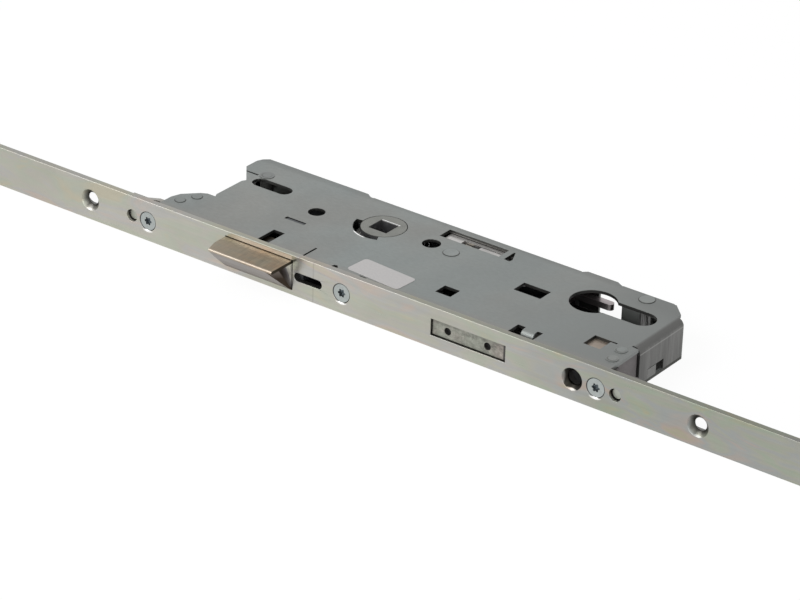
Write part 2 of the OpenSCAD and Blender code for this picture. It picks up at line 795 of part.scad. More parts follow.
// Latch bolt: flat on top, with a slope below that rides over the strike
module latch_bolt() {
    h = latch_h / 2;
    x0 = -latch_dist - latch_len / 2;
    color("Tan") difference() {
        translate([x0, 0, 0]) rotate([90, 0, 90]) linear_extrude(latch_len) {
            polygon([
                [head_rear, h], [latch_nose + nose_t / 2, h], [latch_nose + nose_t / 2, h - nose_t],
                [face_front - 0.4, -h], [head_rear, -h]
            ]);
            translate([latch_nose + nose_t / 2, h - nose_t / 2]) circle(d = nose_t);
        }
        translate([-latch_dist - shank_w / 2 - fix_gap, head_rear - shank_in, -shank_t / 2 - fix_gap])
            cube([shank_w + 2 * fix_gap, shank_in + over, shank_t + 2 * fix_gap]);
        translate([-latch_dist, head_rear - shank_in / 2, 0])
            cylinder(d = latch_pin_d, h = latch_h + 2 * over, center = true);
        translate([x0, latch_nose, -h - over]) linear_extrude(latch_h + 2 * over)
            polygon([[-over, -over], [nose_cut[0], -over], [nose_cut[0], 0], [0, nose_cut[1]],
                [-over, nose_cut[1]]]);
        intersection() {
            translate([x0 + latch_len, face_front, -h]) rotate(end_bevel) translate([0, -15, -15]) cube(30);
            translate([x0, latch_nose - over, -h - over])
                cube([latch_len + over, latch_out + over, latch_h - nose_t + over]);
        }
    }
}

module latch_shank() {
    color("Silver") difference() {
        union() {
            translate([-latch_dist - shank_w / 2, head_rear - shank_in + fix_gap, -shank_t / 2])
                cube([shank_w, bar_rear - head_rear + shank_in - fix_gap, shank_t]);
            translate([bar_x0, bar_front, -shank_t / 2]) cube([bar_x1 - bar_x0, bar_t, shank_t]);
            along_y(-latch_dist, 0, bar_rear, tail_end, tail_d);
        }
        translate([-latch_dist, head_rear - shank_in / 2, 0])
            cylinder(d = latch_pin_d, h = shank_t + 2 * over, center = true);
    }
}

module latch_pin() {
    color("Gray") translate([-latch_dist, head_rear - shank_in / 2, 0])
        cylinder(d = latch_pin_d, h = latch_h, center = true);
}

module latch_spring() {
    l = seat_front - bar_rear;
    echo(latch_spring_least_gap = wire_gap(latch_coil_r, latch_wire, latch_turns, l));
    color("LightGray") translate([-latch_dist, bar_rear, 0]) rotate([-90, 0, 0])
        spring(latch_coil_r, latch_wire, latch_turns, l);
}

// One straight stretch of a lever between two points, with a given width
module bar(a, b, w) {
    d = b - a;
    translate(a) rotate(atan2(d[1], d[0])) translate([0, -w / 2]) square([norm(d), w]);
}

function polar(r, a) = [r * cos(a), r * sin(a)];

module follower() {
    elbow = polar(elbow_r, elbow_a);
    tip = polar(arm_r, arm_a);
    back_tip = polar(back_arm_r, back_arm_a);
    color("Silver") difference() {
        union() {
            cylinder(d = collar_d, h = case_h, center = true, $fn = 96);
            intersection() {
                cylinder(d = disc_d, h = 2 * disc_top, center = true, $fn = 96);
                translate([-disc_d, disc_flat_y - 2 * disc_d, -disc_d]) cube(2 * disc_d);
            }
            translate([0, 0, -arm_t / 2]) linear_extrude(arm_t) {
                bar([0, 0], elbow, arm_w);
                translate(elbow) circle(d = arm_w);
                bar(elbow, tip, 2 * tip_r);
                translate(tip) circle(tip_r);
                bar([0, 0], back_tip, 2 * back_tip_r);
                translate(back_tip) circle(back_tip_r);
            }
        }
        cube([spindle_w, spindle_w, case_h + 2 * over], center = true);
    }
}

// Return spring of the follower, between its rear arm and a seat on the rear wall
back_spring_y = back_arm_r * sin(back_arm_a);
back_spring_x0 = back_arm_r * cos(back_arm_a) + back_tip_r + 0.5;
back_seat_x = 15;

module follower_spring() {
    l = back_seat_x - back_spring_x0;
    echo(follower_spring_least_gap = wire_gap(back_coil_r, back_wire, back_turns, l));
    color("LightGray") translate([back_spring_x0, back_spring_y, 0]) rotate([0, 90, 0])
        spring(back_coil_r, back_wire, back_turns, l);
}

module follower_spring_seat() {
    color("Silver") translate([back_seat_x, 8.6, -3.5]) cube([2.5, wall_in - 8.6, 7.2]);
}

module deadbolt() {
    front = face_front + bolt_face_gap;
    color("Gray") difference() {
        translate([bolt_dist - bolt_len / 2, front, -bolt_t / 2]) cube([bolt_len, bolt_rear - front, bolt_t]);
        translate([pin_x, pin_y, 0]) cylinder(d = pin_d, h = bolt_t + 2 * over, center = true);
        for (dx = insert_dx) along_y(bolt_dist + dx, 0, front - over, front + insert_depth, insert_d);
    }
}

// Hardened pins set into the front of the deadbolt
module deadbolt_inserts() {
    front = face_front + bolt_face_gap;
    color("DimGray") for (dx = insert_dx)
        along_y(bolt_dist + dx, 0, front + insert_recess, front + insert_depth, insert_d);
}

module deadbolt_pin() {
    color("LightGray") translate([pin_x, pin_y, -case_top + 0.1])
        cylinder(d = pin_d, h = case_top - 0.1 + pin_top);
}

module drive_outline() {
    polygon([
        [arm_x0, plate_front], [arm_x1, plate_front], [arm_x1, spine_front], [body_x0, spine_front],
        [body_x0, notch_y1], [notch_x1, notch_y1], [notch_x1, notch_y0], [body_x0, notch_y0],
        [body_x0, plate_front], [strip_x1, plate_front], [strip_x1, strip_y1], [strip_x0, strip_y1],
        [body_x1, body_y1], [body_x1, -corner_y], [spine_x1, corner_y],
        [spine_x1, spine_rear], [arm_x0, spine_rear]
    ]);
    translate([rod_tab_x, rod_front]) square([rod_tab_len, plate_front - rod_front + over]);
    translate([low_tab_x, rod_front]) square([low_tab_len, plate_front - rod_front + over]);
}

// Sloping slot that pushes the deadbolt's pin out as the plate moves up the door
module bolt_slot() {
    w = pin_d + 2 * 0.2;
    l = norm([drive_travel, bolt_throw]);
    translate([pin_x, pin_y]) rotate(atan2(-bolt_throw, drive_travel)) {
        translate([0, -w / 2]) square([l, w]);
        circle(d = w);
        translate([l, 0]) circle(d = w);
    }
}

module drive_plate() {
    color("LightSteelBlue") translate([0, 0, plate_low]) linear_extrude(drive_t) difference() {
        drive_outline();
        bolt_slot();
        for (x = slide_rivet_x) translate([x, (spine_front + spine_rear) / 2]) circle(d = slide_rivet_d);
    }
}

module rear_slide() {
    color("Silver") difference() {
        union() {
            translate([0, 0, slide_low]) linear_extrude(drive_t) polygon([
                [slide_x0, spine_front], [relief_x0, spine_front], [relief_x0, relief_y],
                [relief_x1, relief_y], [relief_x1, spine_front + 0.3], [riser_x1, spine_front + 0.3],
                [riser_x1, spine_rear], [slide_x0, spine_rear]
            ]);
            translate([relief_x1, spine_front + 0.3, plate_top])
                cube([riser_x1 - relief_x1, spine_rear - spine_front - 0.3, slide_top - plate_top]);
            translate([riser_x1 - over, tongue_y0, tongue_low])
                cube([tongue_x1 - tongue_w / 2 - riser_x1 + over, tongue_w, tongue_t]);
            translate([tongue_x1 - tongue_w / 2, tongue_y0 + tongue_w / 2, tongue_low])
                cylinder(d = tongue_w, h = tongue_t);
        }
        for (x = slide_rivet_x) translate([x, (spine_front + spine_rear) / 2, plate_top - over])
            cylinder(d = slide_rivet_d, h = slide_top - plate_top + 2 * over);
    }
}

module slide_rivets() {
    color("Gray") for (x = slide_rivet_x) translate([x, (spine_front + spine_rear) / 2, plate_low])
        cylinder(d = slide_rivet_d, h = slide_top - plate_low);
}

// Long slot in a rod that leaves a fixed screw or stud clear over the whole travel
module rod_slot(x0, x1, d) {
    l0 = x0 - d / 2 - rod_slot_gap;
    l1 = x1 + drive_travel + d / 2 + rod_slot_gap;
    translate([(l0 + l1) / 2, 0]) obround(l1 - l0, rod_slot_w);
}

module rod(x0, x1, tab_x, tab_len, roller_x) {
    color("Silver") difference() {
        upright(rod_back, rod_t) difference() {
            translate([x0, -rod_w / 2]) square([x1 - x0, rod_w]);
            translate([tab_x - fix_gap, -rod_w / 2 - over])
                square([tab_len + 2 * fix_gap, over + rod_w / 2 + plate_top + fix_gap]);
            children();
        }
        along_y(roller_x, 0, rod_front - over, rod_back + over, stud_d);
    }
}

module upper_rod() {
    rod(upper_rod_far, upper_rod_near, rod_tab_x, rod_tab_len, -roller_up) {
        rod_slot(-fix_up - fix_sight, -screw_up, screw_d);
        rod_slot(-guide_up, -guide_up, guide_d);
    }
}

module lower_rod() {
    rod(lower_rod_near, lower_rod_far, low_tab_x, low_tab_len, roller_low) {
        rod_slot(cyl_screw_x, stud_low, cyl_screw_d);
        rod_slot(fix_low - fix_sight, fix_low, fix_d);
        rod_slot(guide_low, guide_low, guide_d);
    }
}

// Studs that carry the rollers, riveted into the rods
module roller_studs() {
    color("Silver") for (x = [-roller_up, roller_low]) {
        along_y(x, 0, roller_front - roller_len - 0.1, rod_back, stud_d);
        along_y(x, 0, roller_front - roller_len - 0.1 - head_t, roller_front - roller_len - 0.1, head_d);
    }
}

module roller(x) {
    color("LightGray") difference() {
        along_y(x, 0, roller_front - roller_len, roller_front, roller_d);
        along_y(x, 0, roller_front - roller_len - over, roller_front + over, stud_d + 2 * turn_gap);
    }
}

module upper_roller() {
    roller(-roller_up);
}

module lower_roller() {
    roller(roller_low);
}

// Shouldered rivets that hold the rods against the faceplate
module rod_guides() {
    color("Silver") for (x = [-guide_up, guide_low]) {
        along_y(x, 0, face_front, face_back, guide_rivet_d);
        along_y(x, 0, face_back, rod_back + run_gap, guide_d);
        along_y(x, 0, rod_back + run_gap, rod_back + run_gap + guide_washer_t, guide_washer_d);
    }
}

// Lever that a key lifts before the slide can move
module tumbler() {
    color("DarkGray") translate([lug_x[0], lug_y, tumbler_top - tumbler_t])
        cube([lug_x[1] - lug_x[0], nose_y - lug_y, tumbler_t - lug_drop]);
    color("DarkGray") translate([0, 0, tumbler_top - tumbler_t]) linear_extrude(tumbler_t) difference() {
        union() {
            translate([pillar_x, pillar_y]) circle(boss_r);
            polygon([
                [pillar_x - 3, pillar_y + 4], [pillar_x + 2, pillar_y - 4.6], [50, arm_low_y],
                [arm_end_x, arm_low_y], [arm_end_x + 0.6, 4], [arm_end_x, 6.2], [58, 6.2],
                [nose_x1, 8.4], [nose_x1, nose_y], [nose_x0, nose_y]
            ]);
        }
        translate([pillar_x, pillar_y]) circle(d = pillar_d + 2 * turn_gap);
    }
}

// Leaf spring that presses the tumbler towards the slide, welded by its foot under the cover
module tumbler_spring() {
    color("LightGray") {
        translate([leaf_foot[0], leaf_foot[1], case_in - leaf_t]) cube([6, 4, leaf_t]);
        translate([0, 0, tumbler_top - tumbler_t]) linear_extrude(case_in - leaf_t / 2 - tumbler_top + tumbler_t) {
            bar(leaf_at[0], leaf_at[1], leaf_t);
            translate(leaf_at[1]) circle(d = leaf_t);
            bar(leaf_at[1], leaf_at[2], leaf_t);
            translate(leaf_at[2]) circle(d = leaf_t);
        }
    }
}

// Blank paper label
module label() {
    color("White") translate([label_at[0], label_at[1], case_top]) rotate(label_turn) linear_extrude(label_t) {
        square([label_l - 2 * label_r, label_w], center = true);
        square([label_l, label_w - 2 * label_r], center = true);
        for (sx = [-1, 1]) for (sy = [-1, 1])
            translate([sx * (label_l / 2 - label_r), sy * (label_w / 2 - label_r)]) circle(label_r);
    }
}

faceplate();
case_cover();
case_base();
spacer_pillars();
upper_bracket();
lower_bracket();
bracket_rivets();
locating_studs();
face_screws();
screw_block();
latch_guide();
latch_liner();
latch_spring_seat();
latch_bolt();
latch_shank();
latch_pin();
latch_spring();
follower();
follower_spring();
follower_spring_seat();
deadbolt();
deadbolt_inserts();
deadbolt_pin();
drive_plate();
rear_slide();
slide_rivets();
upper_rod();
lower_rod();
roller_studs();
upper_roller();
lower_roller();
rod_guides();
tumbler();
tumbler_spring();
label();
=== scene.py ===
"""Looks of the multipoint door lock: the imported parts, their finishes, and a pale studio."""
import math

import bpy
from mathutils import Matrix, Vector

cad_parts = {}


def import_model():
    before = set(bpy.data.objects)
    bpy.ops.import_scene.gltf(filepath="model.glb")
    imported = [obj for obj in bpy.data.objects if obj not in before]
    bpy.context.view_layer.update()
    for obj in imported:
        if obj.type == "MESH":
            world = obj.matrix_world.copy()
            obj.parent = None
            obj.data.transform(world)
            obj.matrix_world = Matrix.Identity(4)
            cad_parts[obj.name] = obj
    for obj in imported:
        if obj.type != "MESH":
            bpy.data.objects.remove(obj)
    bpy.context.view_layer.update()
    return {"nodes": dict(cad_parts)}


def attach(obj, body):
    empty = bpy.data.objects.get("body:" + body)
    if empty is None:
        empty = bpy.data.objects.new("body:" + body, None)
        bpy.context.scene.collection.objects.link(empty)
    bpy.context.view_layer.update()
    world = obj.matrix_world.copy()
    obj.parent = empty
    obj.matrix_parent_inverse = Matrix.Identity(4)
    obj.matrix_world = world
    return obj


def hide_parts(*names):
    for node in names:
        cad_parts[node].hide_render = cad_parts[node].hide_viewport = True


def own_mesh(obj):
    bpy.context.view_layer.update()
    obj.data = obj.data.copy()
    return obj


MM = 0.001

# Camera, in millimetres of the lock's own frame
CAMERA_AT = (710.2, -971.6, 604.75)
CAMERA_RIGHT = (0.8015, 0.5973, 0.0284)
CAMERA_DOWN = (0.2964, -0.3556, -0.8864)
CAMERA_FORWARD = (-0.5193, 0.7189, -0.4620)
FOCAL_PX = 3694.0
IMAGE_WIDTH = 800.0
SENSOR = 36.0

# Nearest and furthest view, in metres
VIEW_START = 0.05
VIEW_END = 50.0

# Studio
FLOOR_Z = -8.0 * MM
FLOOR_SIZE = 8.0
FLOOR_COLOUR = (0.80, 0.80, 0.80)
FLOOR_ROUGHNESS = 0.9
FLOOR_GLOW = 0.86
FLOOR_STRENGTH = 1.075
WORLD_LIGHT = 0.42

# Lamps: place, size and power in metres and watts, each aimed at the lock
AIM = (0.03, 0.0, 0.0)
LAMPS = {
    "key": ((-0.9, -1.1, 1.3), 1.2, 16.0),
    "front": ((0.5, -1.6, 0.5), 1.4, 10.0),
}

# Finishes as linear colours
FACE_ZINC = (0.47, 0.455, 0.40)
# Painted shade: the faceplate's zinc as darkened towards the lower end of the lock
FACE_SHADED = (0.345, 0.345, 0.295)
CASE_ZINC = (0.249, 0.262, 0.255)
# Painted shade: the end wall's zinc, darker than the cover's as a side turned from the light
SHADED_END_ZINC = (0.155, 0.155, 0.15)
# Painted shade, for the cover's rear bend and corner and the deadbolt's sides
ZINC_SHADE = (0.05, 0.05, 0.048)
STUD_ZINC = (0.41, 0.425, 0.375)
BRIGHT_ZINC = (0.42, 0.41, 0.40)
TONGUE_ZINC = (0.40, 0.36, 0.365)
HUB_ZINC = (0.208, 0.212, 0.195)
ROD_ZINC = (0.19, 0.19, 0.185)
SCREW_ZINC = (0.395, 0.425, 0.415)
GUIDE_ZINC = (0.09, 0.095, 0.10)
BRACKET_ZINC = (0.115, 0.105, 0.105)
BRACKET_BROWN = (0.285, 0.24, 0.20)
BRACKET_PALE = (0.33, 0.32, 0.295)
LATCH_BROWN = (0.215, 0.172, 0.118)
LATCH_SLOPE = (0.160, 0.132, 0.114)
LATCH_PALE = (0.34, 0.31, 0.25)
# Painted shade on the latch's bevel
LATCH_BEVEL_SHADE = (0.042, 0.028, 0.017)
BOLT_STEEL = (0.298, 0.287, 0.258)
DARK_STEEL = (0.06, 0.058, 0.055)
# Painted shade: the deadbolt's inserts near black for the shade in their holes
INSERT_SHADE = (0.016, 0.016, 0.015)
TURNED_STEEL = (0.50, 0.50, 0.49)
SPRING_STEEL = (0.35, 0.35, 0.35)
# Painted shade inside the case, on its cut edges and on hidden pillar sides
INSIDE_SHADE = (0.055, 0.055, 0.052)
# Painted shade in the empty screw holes
SINK_SHADE = (0.012, 0.011, 0.008)
LINER = (0.02, 0.02, 0.022)
LABEL = (0.58, 0.565, 0.56)

# Marks on the finishes, all but the scribed line painted light and shade: linear colour, and the share of
# it that covers what lies below
SCRIBE = ((0.20, 0.19, 0.17), 0.28)
# Painted shade on the faceplate's sheared top and bottom faces
SHEARED_EDGE_SHADE = ((0.10, 0.095, 0.08), 1.0)
# Painted highlight along the rim of the faceplate's front
RIM_HIGHLIGHT = ((0.80, 0.77, 0.72), 1.0)
# Painted shade on the walls of the faceplate's openings
OPENING_WALL_SHADE = (DARK_STEEL, 0.85)
# Painted highlight on the strip beside the latch
BESIDE_LATCH_HIGHLIGHT = ((0.86, 0.79, 0.73), 0.85)
# Painted shade beside the lower end of the latch opening
LATCH_END_SHADE = ((0.10, 0.09, 0.075), 0.75)
# Painted shade in the gap round each screw head
SCREW_GAP_SHADE = ((0.05, 0.05, 0.05), 1.0)
SCREW_GLINT = ((0.95, 0.94, 0.92), 0.9)
# Painted shade in the screws' driver recess
SCREW_RECESS_SHADE = ((0.20, 0.225, 0.24), 1.0)
# Painted light: warm light from the faceplate on the cover beside it
FACEPLATE_BOUNCE_LIGHT = ((0.265, 0.245, 0.225), 0.45)
# Painted shade at the rims of the staked discs
STAKE_SHADE = ((0.06, 0.06, 0.055), 0.8)
# Painted shade in the stamped rings
STAMP_SHADE = ((0.06, 0.06, 0.055), 0.75)
# Painted highlight on the edge of the lobe
LOBE_HIGHLIGHT = ((0.95, 0.95, 0.94), 0.95)
# Painted shade on the base plate's end edge below the end wall
BASE_EDGE_SHADE = ((0.05, 0.05, 0.045), 1.0)
# Painted shade on the tumbler's sides between lug and nose
TUMBLER_SIDE_SHADE = ((0.02, 0.02, 0.018), 1.0)
# Painted highlight along the latch's nose
LATCH_NOSE_HIGHLIGHT = ((0.68, 0.60, 0.52), 0.42)
# Painted shade at the deadbolt's lower end
BOLT_END_SHADE = ((0.05, 0.048, 0.045), 0.9)
# Painted shade on the deadbolt's sides near the face
BOLT_SIDE_SHADE = (ZINC_SHADE, 0.75)
# Painted shade on the side of the slide's tongue
TONGUE_SIDE_SHADE = ((0.05, 0.048, 0.045), 0.55)
# Painted light on the follower's arms, seen in the lobe
HUB_ARM_LIGHT = ((0.75, 0.74, 0.70), 1.0)
# Painted highlight on the lip of the spindle's square
HUB_LIP_HIGHLIGHT = ((0.97, 0.97, 0.96), 1.0)

# Painted light and shade on the cut edge of the rear window: colours of its upper and its lower part, and
# their share
WINDOW_EDGE_LIT = (0.24, 0.235, 0.225)
WINDOW_EDGE_SHADED = (0.11, 0.108, 0.10)
WINDOW_SHARE = 0.8

# Texture sizes, as features a metre along each axis
STRIP_STREAKS = (6.0, 900.0, 900.0)
STRIP_PATCHES = (34.0, 90.0, 120.0)
STRIP_SMUDGES = (70.0, 120.0, 120.0)
STRIP_ROLLING = (20.0, 1500.0, 1500.0)
STRIP_GRAIN = (30.0, 2500.0, 2500.0)
SINK_SHADE_MOTTLE = (500.0, 500.0, 500.0)
SHEET_CLOUDS = (45.0, 45.0, 45.0)
SHEET_HUE = (28.0, 28.0, 28.0)
SHEET_GRAIN = (500.0, 900.0, 500.0)
WALL_STROKES = (200.0, 420.0, 30.0)
BRACKET_CLOUDS = (160.0, 160.0, 160.0)
PILLAR_RINGS = (2200.0, 2200.0, 40.0)
FINE_GRAIN = (300.0, 300.0, 300.0)
DARK_GRAIN = (400.0, 400.0, 400.0)
SCREW_GRAIN = (500.0, 500.0, 500.0)
ROD_STREAKS = (8.0, 900.0, 900.0)
TURNED_RINGS = (120.0, 1600.0, 120.0)
LATCH_STREAKS = (60.0, 500.0, 500.0)
LATCH_STROKES = (700.0, 90.0, 500.0)
LATCH_BLOTS = (140.0, 220.0, 220.0)
BOLT_BLOTCHES = (420.0, 420.0, 620.0)
BOLT_HUE = (60.0, 60.0, 120.0)
BOLT_SHADE_PATCHES = (110.0, 110.0, 260.0)
SAW_MARKS = (1600.0, 200.0, 90.0)
SLIDE_STREAKS = (40.0, 900.0, 900.0)
WIRE_STREAKS = (700.0, 700.0, 700.0)
LINER_GRAIN = (1800.0, 1800.0, 1800.0)
PAPER_FIBRES = (900.0, 1300.0, 900.0)

# Shares of a texture between which a roughness runs from its lower to its higher value
MIDDLE = (0.3, 0.7)

# Spread of the galvanised sheet's tones round its colour
MOTTLE = 0.12

# Turned rings round the spindle: phase of their waves, in radians a metre
HUB_WAVES = 9000.0

# Tints that multiply a finish, at shares of a texture
RAINBOW = (
    (0.32, (1.06, 1.01, 0.84)), (0.42, (0.91, 1.02, 0.96)), (0.50, (1.0, 1.0, 1.0)),
    (0.57, (0.93, 0.97, 1.10)), (0.66, (1.13, 0.96, 0.98)), (0.74, (1.06, 1.02, 0.86)),
)
SHEET_TINTS = ((0.35, (1.04, 1.0, 0.97)), (0.65, (0.96, 1.01, 1.02)))
LATCH_TINTS = ((0.34, (1.22, 1.03, 0.88)), (0.66, (0.86, 0.95, 0.98)))
BOLT_TINTS = ((0.4, (0.94, 1.01, 0.96)), (0.6, (1.04, 0.99, 0.98)))

# Colours at shares of a texture, or of the way across the latch's end
PILLAR_SIDE = ((0.30, (0.05, 0.05, 0.05)), (0.55, (0.20, 0.20, 0.197)), (0.70, (0.42, 0.42, 0.41)))
# Painted shade: brown tones of the tumbler's lug
TUMBLER_LUG_SHADE = ((0.30, (0.17, 0.15, 0.12)), (0.70, (0.28, 0.25, 0.205)))
HUB_INSIDE = ((0.30, (0.13, 0.13, 0.137)), (0.70, (0.27, 0.27, 0.278)))
# Painted shade and a painted reflection across the latch's end, standing for a hollow
END_SHADING = (
    (0.0, (0.055, 0.042, 0.034)), (0.45, (0.16, 0.14, 0.14)), (0.72, (0.38, 0.37, 0.39)),
    (0.84, (0.85, 0.83, 0.78)),
)

# Softness of a boundary where none is given, in millimetres, as all the sizes and places below
SOFT = 0.1

# Faceplate
FACE_FRONT = -40.0
FACE_BACK = -37.5
FACE_HALF = 8.0
LATCH_SLOTS = (-42.0, 2.8)
BOLT_SLOT = (50.6, 82.6)
OPENING_HALF = 7.5
SCREWS = (-78.4, 11.3, 120.2)
SINK_RADIUS = 3.9
GLINT_TOP = -3.4

# Sheared edge of the faceplate, its top and bottom faces: half widths between which painted shade covers
# it
SHEARED = (FACE_HALF - 0.10, FACE_HALF - 0.01)

# Empty screw holes: place along the strip, radius of the painted shade, and its share
SINKS = ((110.5, 4.2, 1.0), (-106.3, 4.2, 0.4), (161.5, 4.2, 0.4))

# Painted shade in the empty screw holes: its least Z, and how far before the centre it is weaker, and by
# what
SINK_FROM_Z = -3.75
SINK_WEAK_SIDE = 3.6
SINK_WEAK_SHARE = 0.35

# Painted shade, falling in tone towards the lower end: start, length and share
FALLOFF_SHADE = ((5.0, 50.0, 0.30), (80.0, 45.0, 0.70))

# Upper stretch of the faceplate, which is a little duller: its end, and the length of the change
UPPER_STRETCH = (-100.0, 25.0)

# Changes of a share along the faceplate: start, end, and the share at each
TINT_FADE = (50.0, 140.0, 0.60, 1.0)
SHEAR_FADE = (-50.0, 130.0, 0.32, 0.56)
RIM_FADE = (0.0, 150.0, 0.48, 0.05)

# Lines of the faceplate: centre, half width and softness
LATCH_HOLE_END = (-10.65, 0.3, 0.15)
GLINT_RING = (SINK_RADIUS + 0.1, 0.3, 0.15)
SCRIBE_LINE = (-1.3, 0.12, 0.25)
RIM_LINE = (FACE_HALF - 0.16, 0.06, 0.06)
BESIDE_LATCH_LINE = (6.4, 0.9, 0.5)
LATCH_END_SHADE_LINE = (5.3, 0.15, 0.45)

# Ends of the painted highlight strip and of the painted shade beside the latch's end, and the direction
# across that shade
BESIDE_LATCH_ENDS = (-40.0, -10.8)
LATCH_END_SHADE_ENDS = (-11.3, -8.6)
LATCH_END_SHADE_ACROSS = (("X", -11.3, -0.62), ("Z", 0.0, 1.0))

# Case: its sheet, its bends and walls, and the places of drive plate and lobe
COVER_TOP = 7.75
SHEET_INNER = 6.5
COVER_START = -63.0
END_WALL = 121.3
COVER_END = 124.0
REAR_BEND = 16.05
REAR_INNER = 17.3
WALL_FRONT = -19.3
DRIVE_TOP = -4.5
LOBE_RADIUS = 11.4

# Shade on the end wall beside the faceplate: start, end, and the share at each
WALL_SHADE = (WALL_FRONT, -13.0, 0.75, 0.0)

# Staked discs on the cover: place in X and Y, and radius
STAKES = (
    (31.3, -1.5, 2.85), (105.8, 13.2, 2.85), (-67.5, -24.7, 1.9), (-70.5, -30.8, 1.9),
)

# Stamped rings on rivets and pillars: place in X and Y, and radius
STAMPED = ((-59.0, 6.0, 1.9), (119.6, -24.0, 1.8), (120.6, -31.0, 1.7))

# Strip curled down in the front window, and edge of the rear window: start, end and place in Y
CURL = (84.3, 90.3, -31.6)
REAR_WINDOW = (19.0, 50.0, 13.5)
WINDOW_TOP = 7.0

# Changes of tone on the cover: where each starts, and its length
WINDOW_TURN = (30.0, 12.0)
REAR_SHADE = (13.8, 2.2)
CORNER_SHADE_X = (90.0, 16.0)
CORNER_SHADE_Y = (2.0, 9.0)

# Lines of the case: centre, half width and softness
BEND_HIGHLIGHT_LINE = (4.95, 0.12, 0.25)
LOBE_HIGHLIGHT_RING = (LOBE_RADIUS + 0.25, 0.20, 0.12)

# Painted shade at the rims of staked discs and in the stamped rings: half width and softness, and how far
# a rim lies outside its disc
STAKE_RIM = (0.13, 0.15)
STAMP_RING = (0.12, 0.25)
STAKE_GAP = 0.14

# Shares of the two shades of the cover, and of the painted highlight line at its bend
REAR_SHARE = 0.16
CORNER_SHARE = 0.15
BEND_HIGHLIGHT_SHARE = 0.6

# Reach of the painted highlight on the lobe: its end and softness
LOBE_HIGHLIGHT_X = (0.2, 1.0)
LOBE_HIGHLIGHT_Y = (-9.7, 0.4)

# Upper pillars: the X below which they lie
UPPER_PILLARS = -50.0

# Tumbler: end of its lug, and the sides between lug and nose in painted shade
LUG_END = 33.0
LUG_SIDE = (31.5, 35.7)

# Follower: half of the spindle's square, its collars, and its arm
SPINDLE_HALF = 4.0
COLLAR_Z = 7.3
ARM_Z = 2.6
ARM_RADIUS = 8.6

# Painted highlight on the lip at the spindle's square, in X and in Y: centre, half width and softness
LIP_X = (0.3, SPINDLE_HALF, SOFT)
LIP_Y = (SPINDLE_HALF + 0.10, 0.22, 0.05)

# Rear slide: start of its tongue, and start and top of the painted shade on the tongue's side
TONGUE_START = 70.0
TONGUE_SIDE_AT = (74.5, 0.80)

# Brackets: start of the lower one's web, and the X below which the upper one lies
LOWER_WEB = 119.0
UPPER_BRACKET = 0.0

# Deadbolt: its lower end and top
BOLT_END = 81.1
BOLT_TOP = 2.95

# Lines of the deadbolt: painted shade near its top in Z, and painted shade on its sides in Y
TOP_SHADE_LINE = (BOLT_TOP - 0.55, 0.25, 0.7)
SIDE_LINE = (FACE_FRONT + 1.7, 0.6, 0.5)
TOP_SHADE_SHARE = 0.42

# Latch: its end, the underside of its top plate, and its nose in Y and Z
LATCH_END = -11.0
LATCH_PLATE = 4.6
LATCH_NOSE_AT = (-51.25, 4.9)

# Latch: its pale stretch, as start, end and the share at each, and the roughness of its end
LATCH_FADE = (-41.0, -22.0, 0.45, 0.0)
LATCH_END_ROUGHNESS = (0.45, 0.45, 0.45)

# Directions across the latch's bevel and across its end, where painted shade and a painted reflection
# stand for a hollow: axis, starting place and share of each axis
LATCH_BEVEL = (("X", -11.0, 0.661), ("Y", -40.0, -0.602), ("Z", -5.8, -0.448))
END_SHADING_ACROSS = (("Y", -42.8, 0.909), ("Z", 3.4, 0.416))
END_SHADING_WIDTH = (-2.6, 0.6)

# Rounded edges, as widths in millimetres
EDGES = {
    "faceplate": 0.15,
    "case_cover": 0.10,
    "latch_bolt": 0.17,
    "deadbolt": 0.15,
    "follower": 0.15,
    "face_screws": 0.08,
    "upper_roller": 0.3,
    "lower_roller": 0.3,
}
WELD_GAP = 0.002
EDGE_SEGMENTS = 2
EDGE_ANGLE = math.radians(40)
SHARP_ANGLE = math.radians(30)

# Springs: shown as, joint, axis, fixed end in millimetres, and share of the length left at the limit
SPRINGS = {
    "latch_spring": ("latch_coil", "latch_slide", (0.0, 1.0, 0.0), (-26.2, 11.9, 0.0), 0.36),
    "follower_spring": ("follower_coil", "follower_turn", (1.0, 0.0, 0.0), (15.0, 11.26, 0.0), 0.63),
    "tumbler_spring": ("tumbler_leaf", "tumbler_lift", (0.0, 1.0, 0.0), (60.6, -10.5, 5.5), 0.855),
}


def scaled(colour, factor):
    return tuple(min(1.0, c * factor) for c in colour)


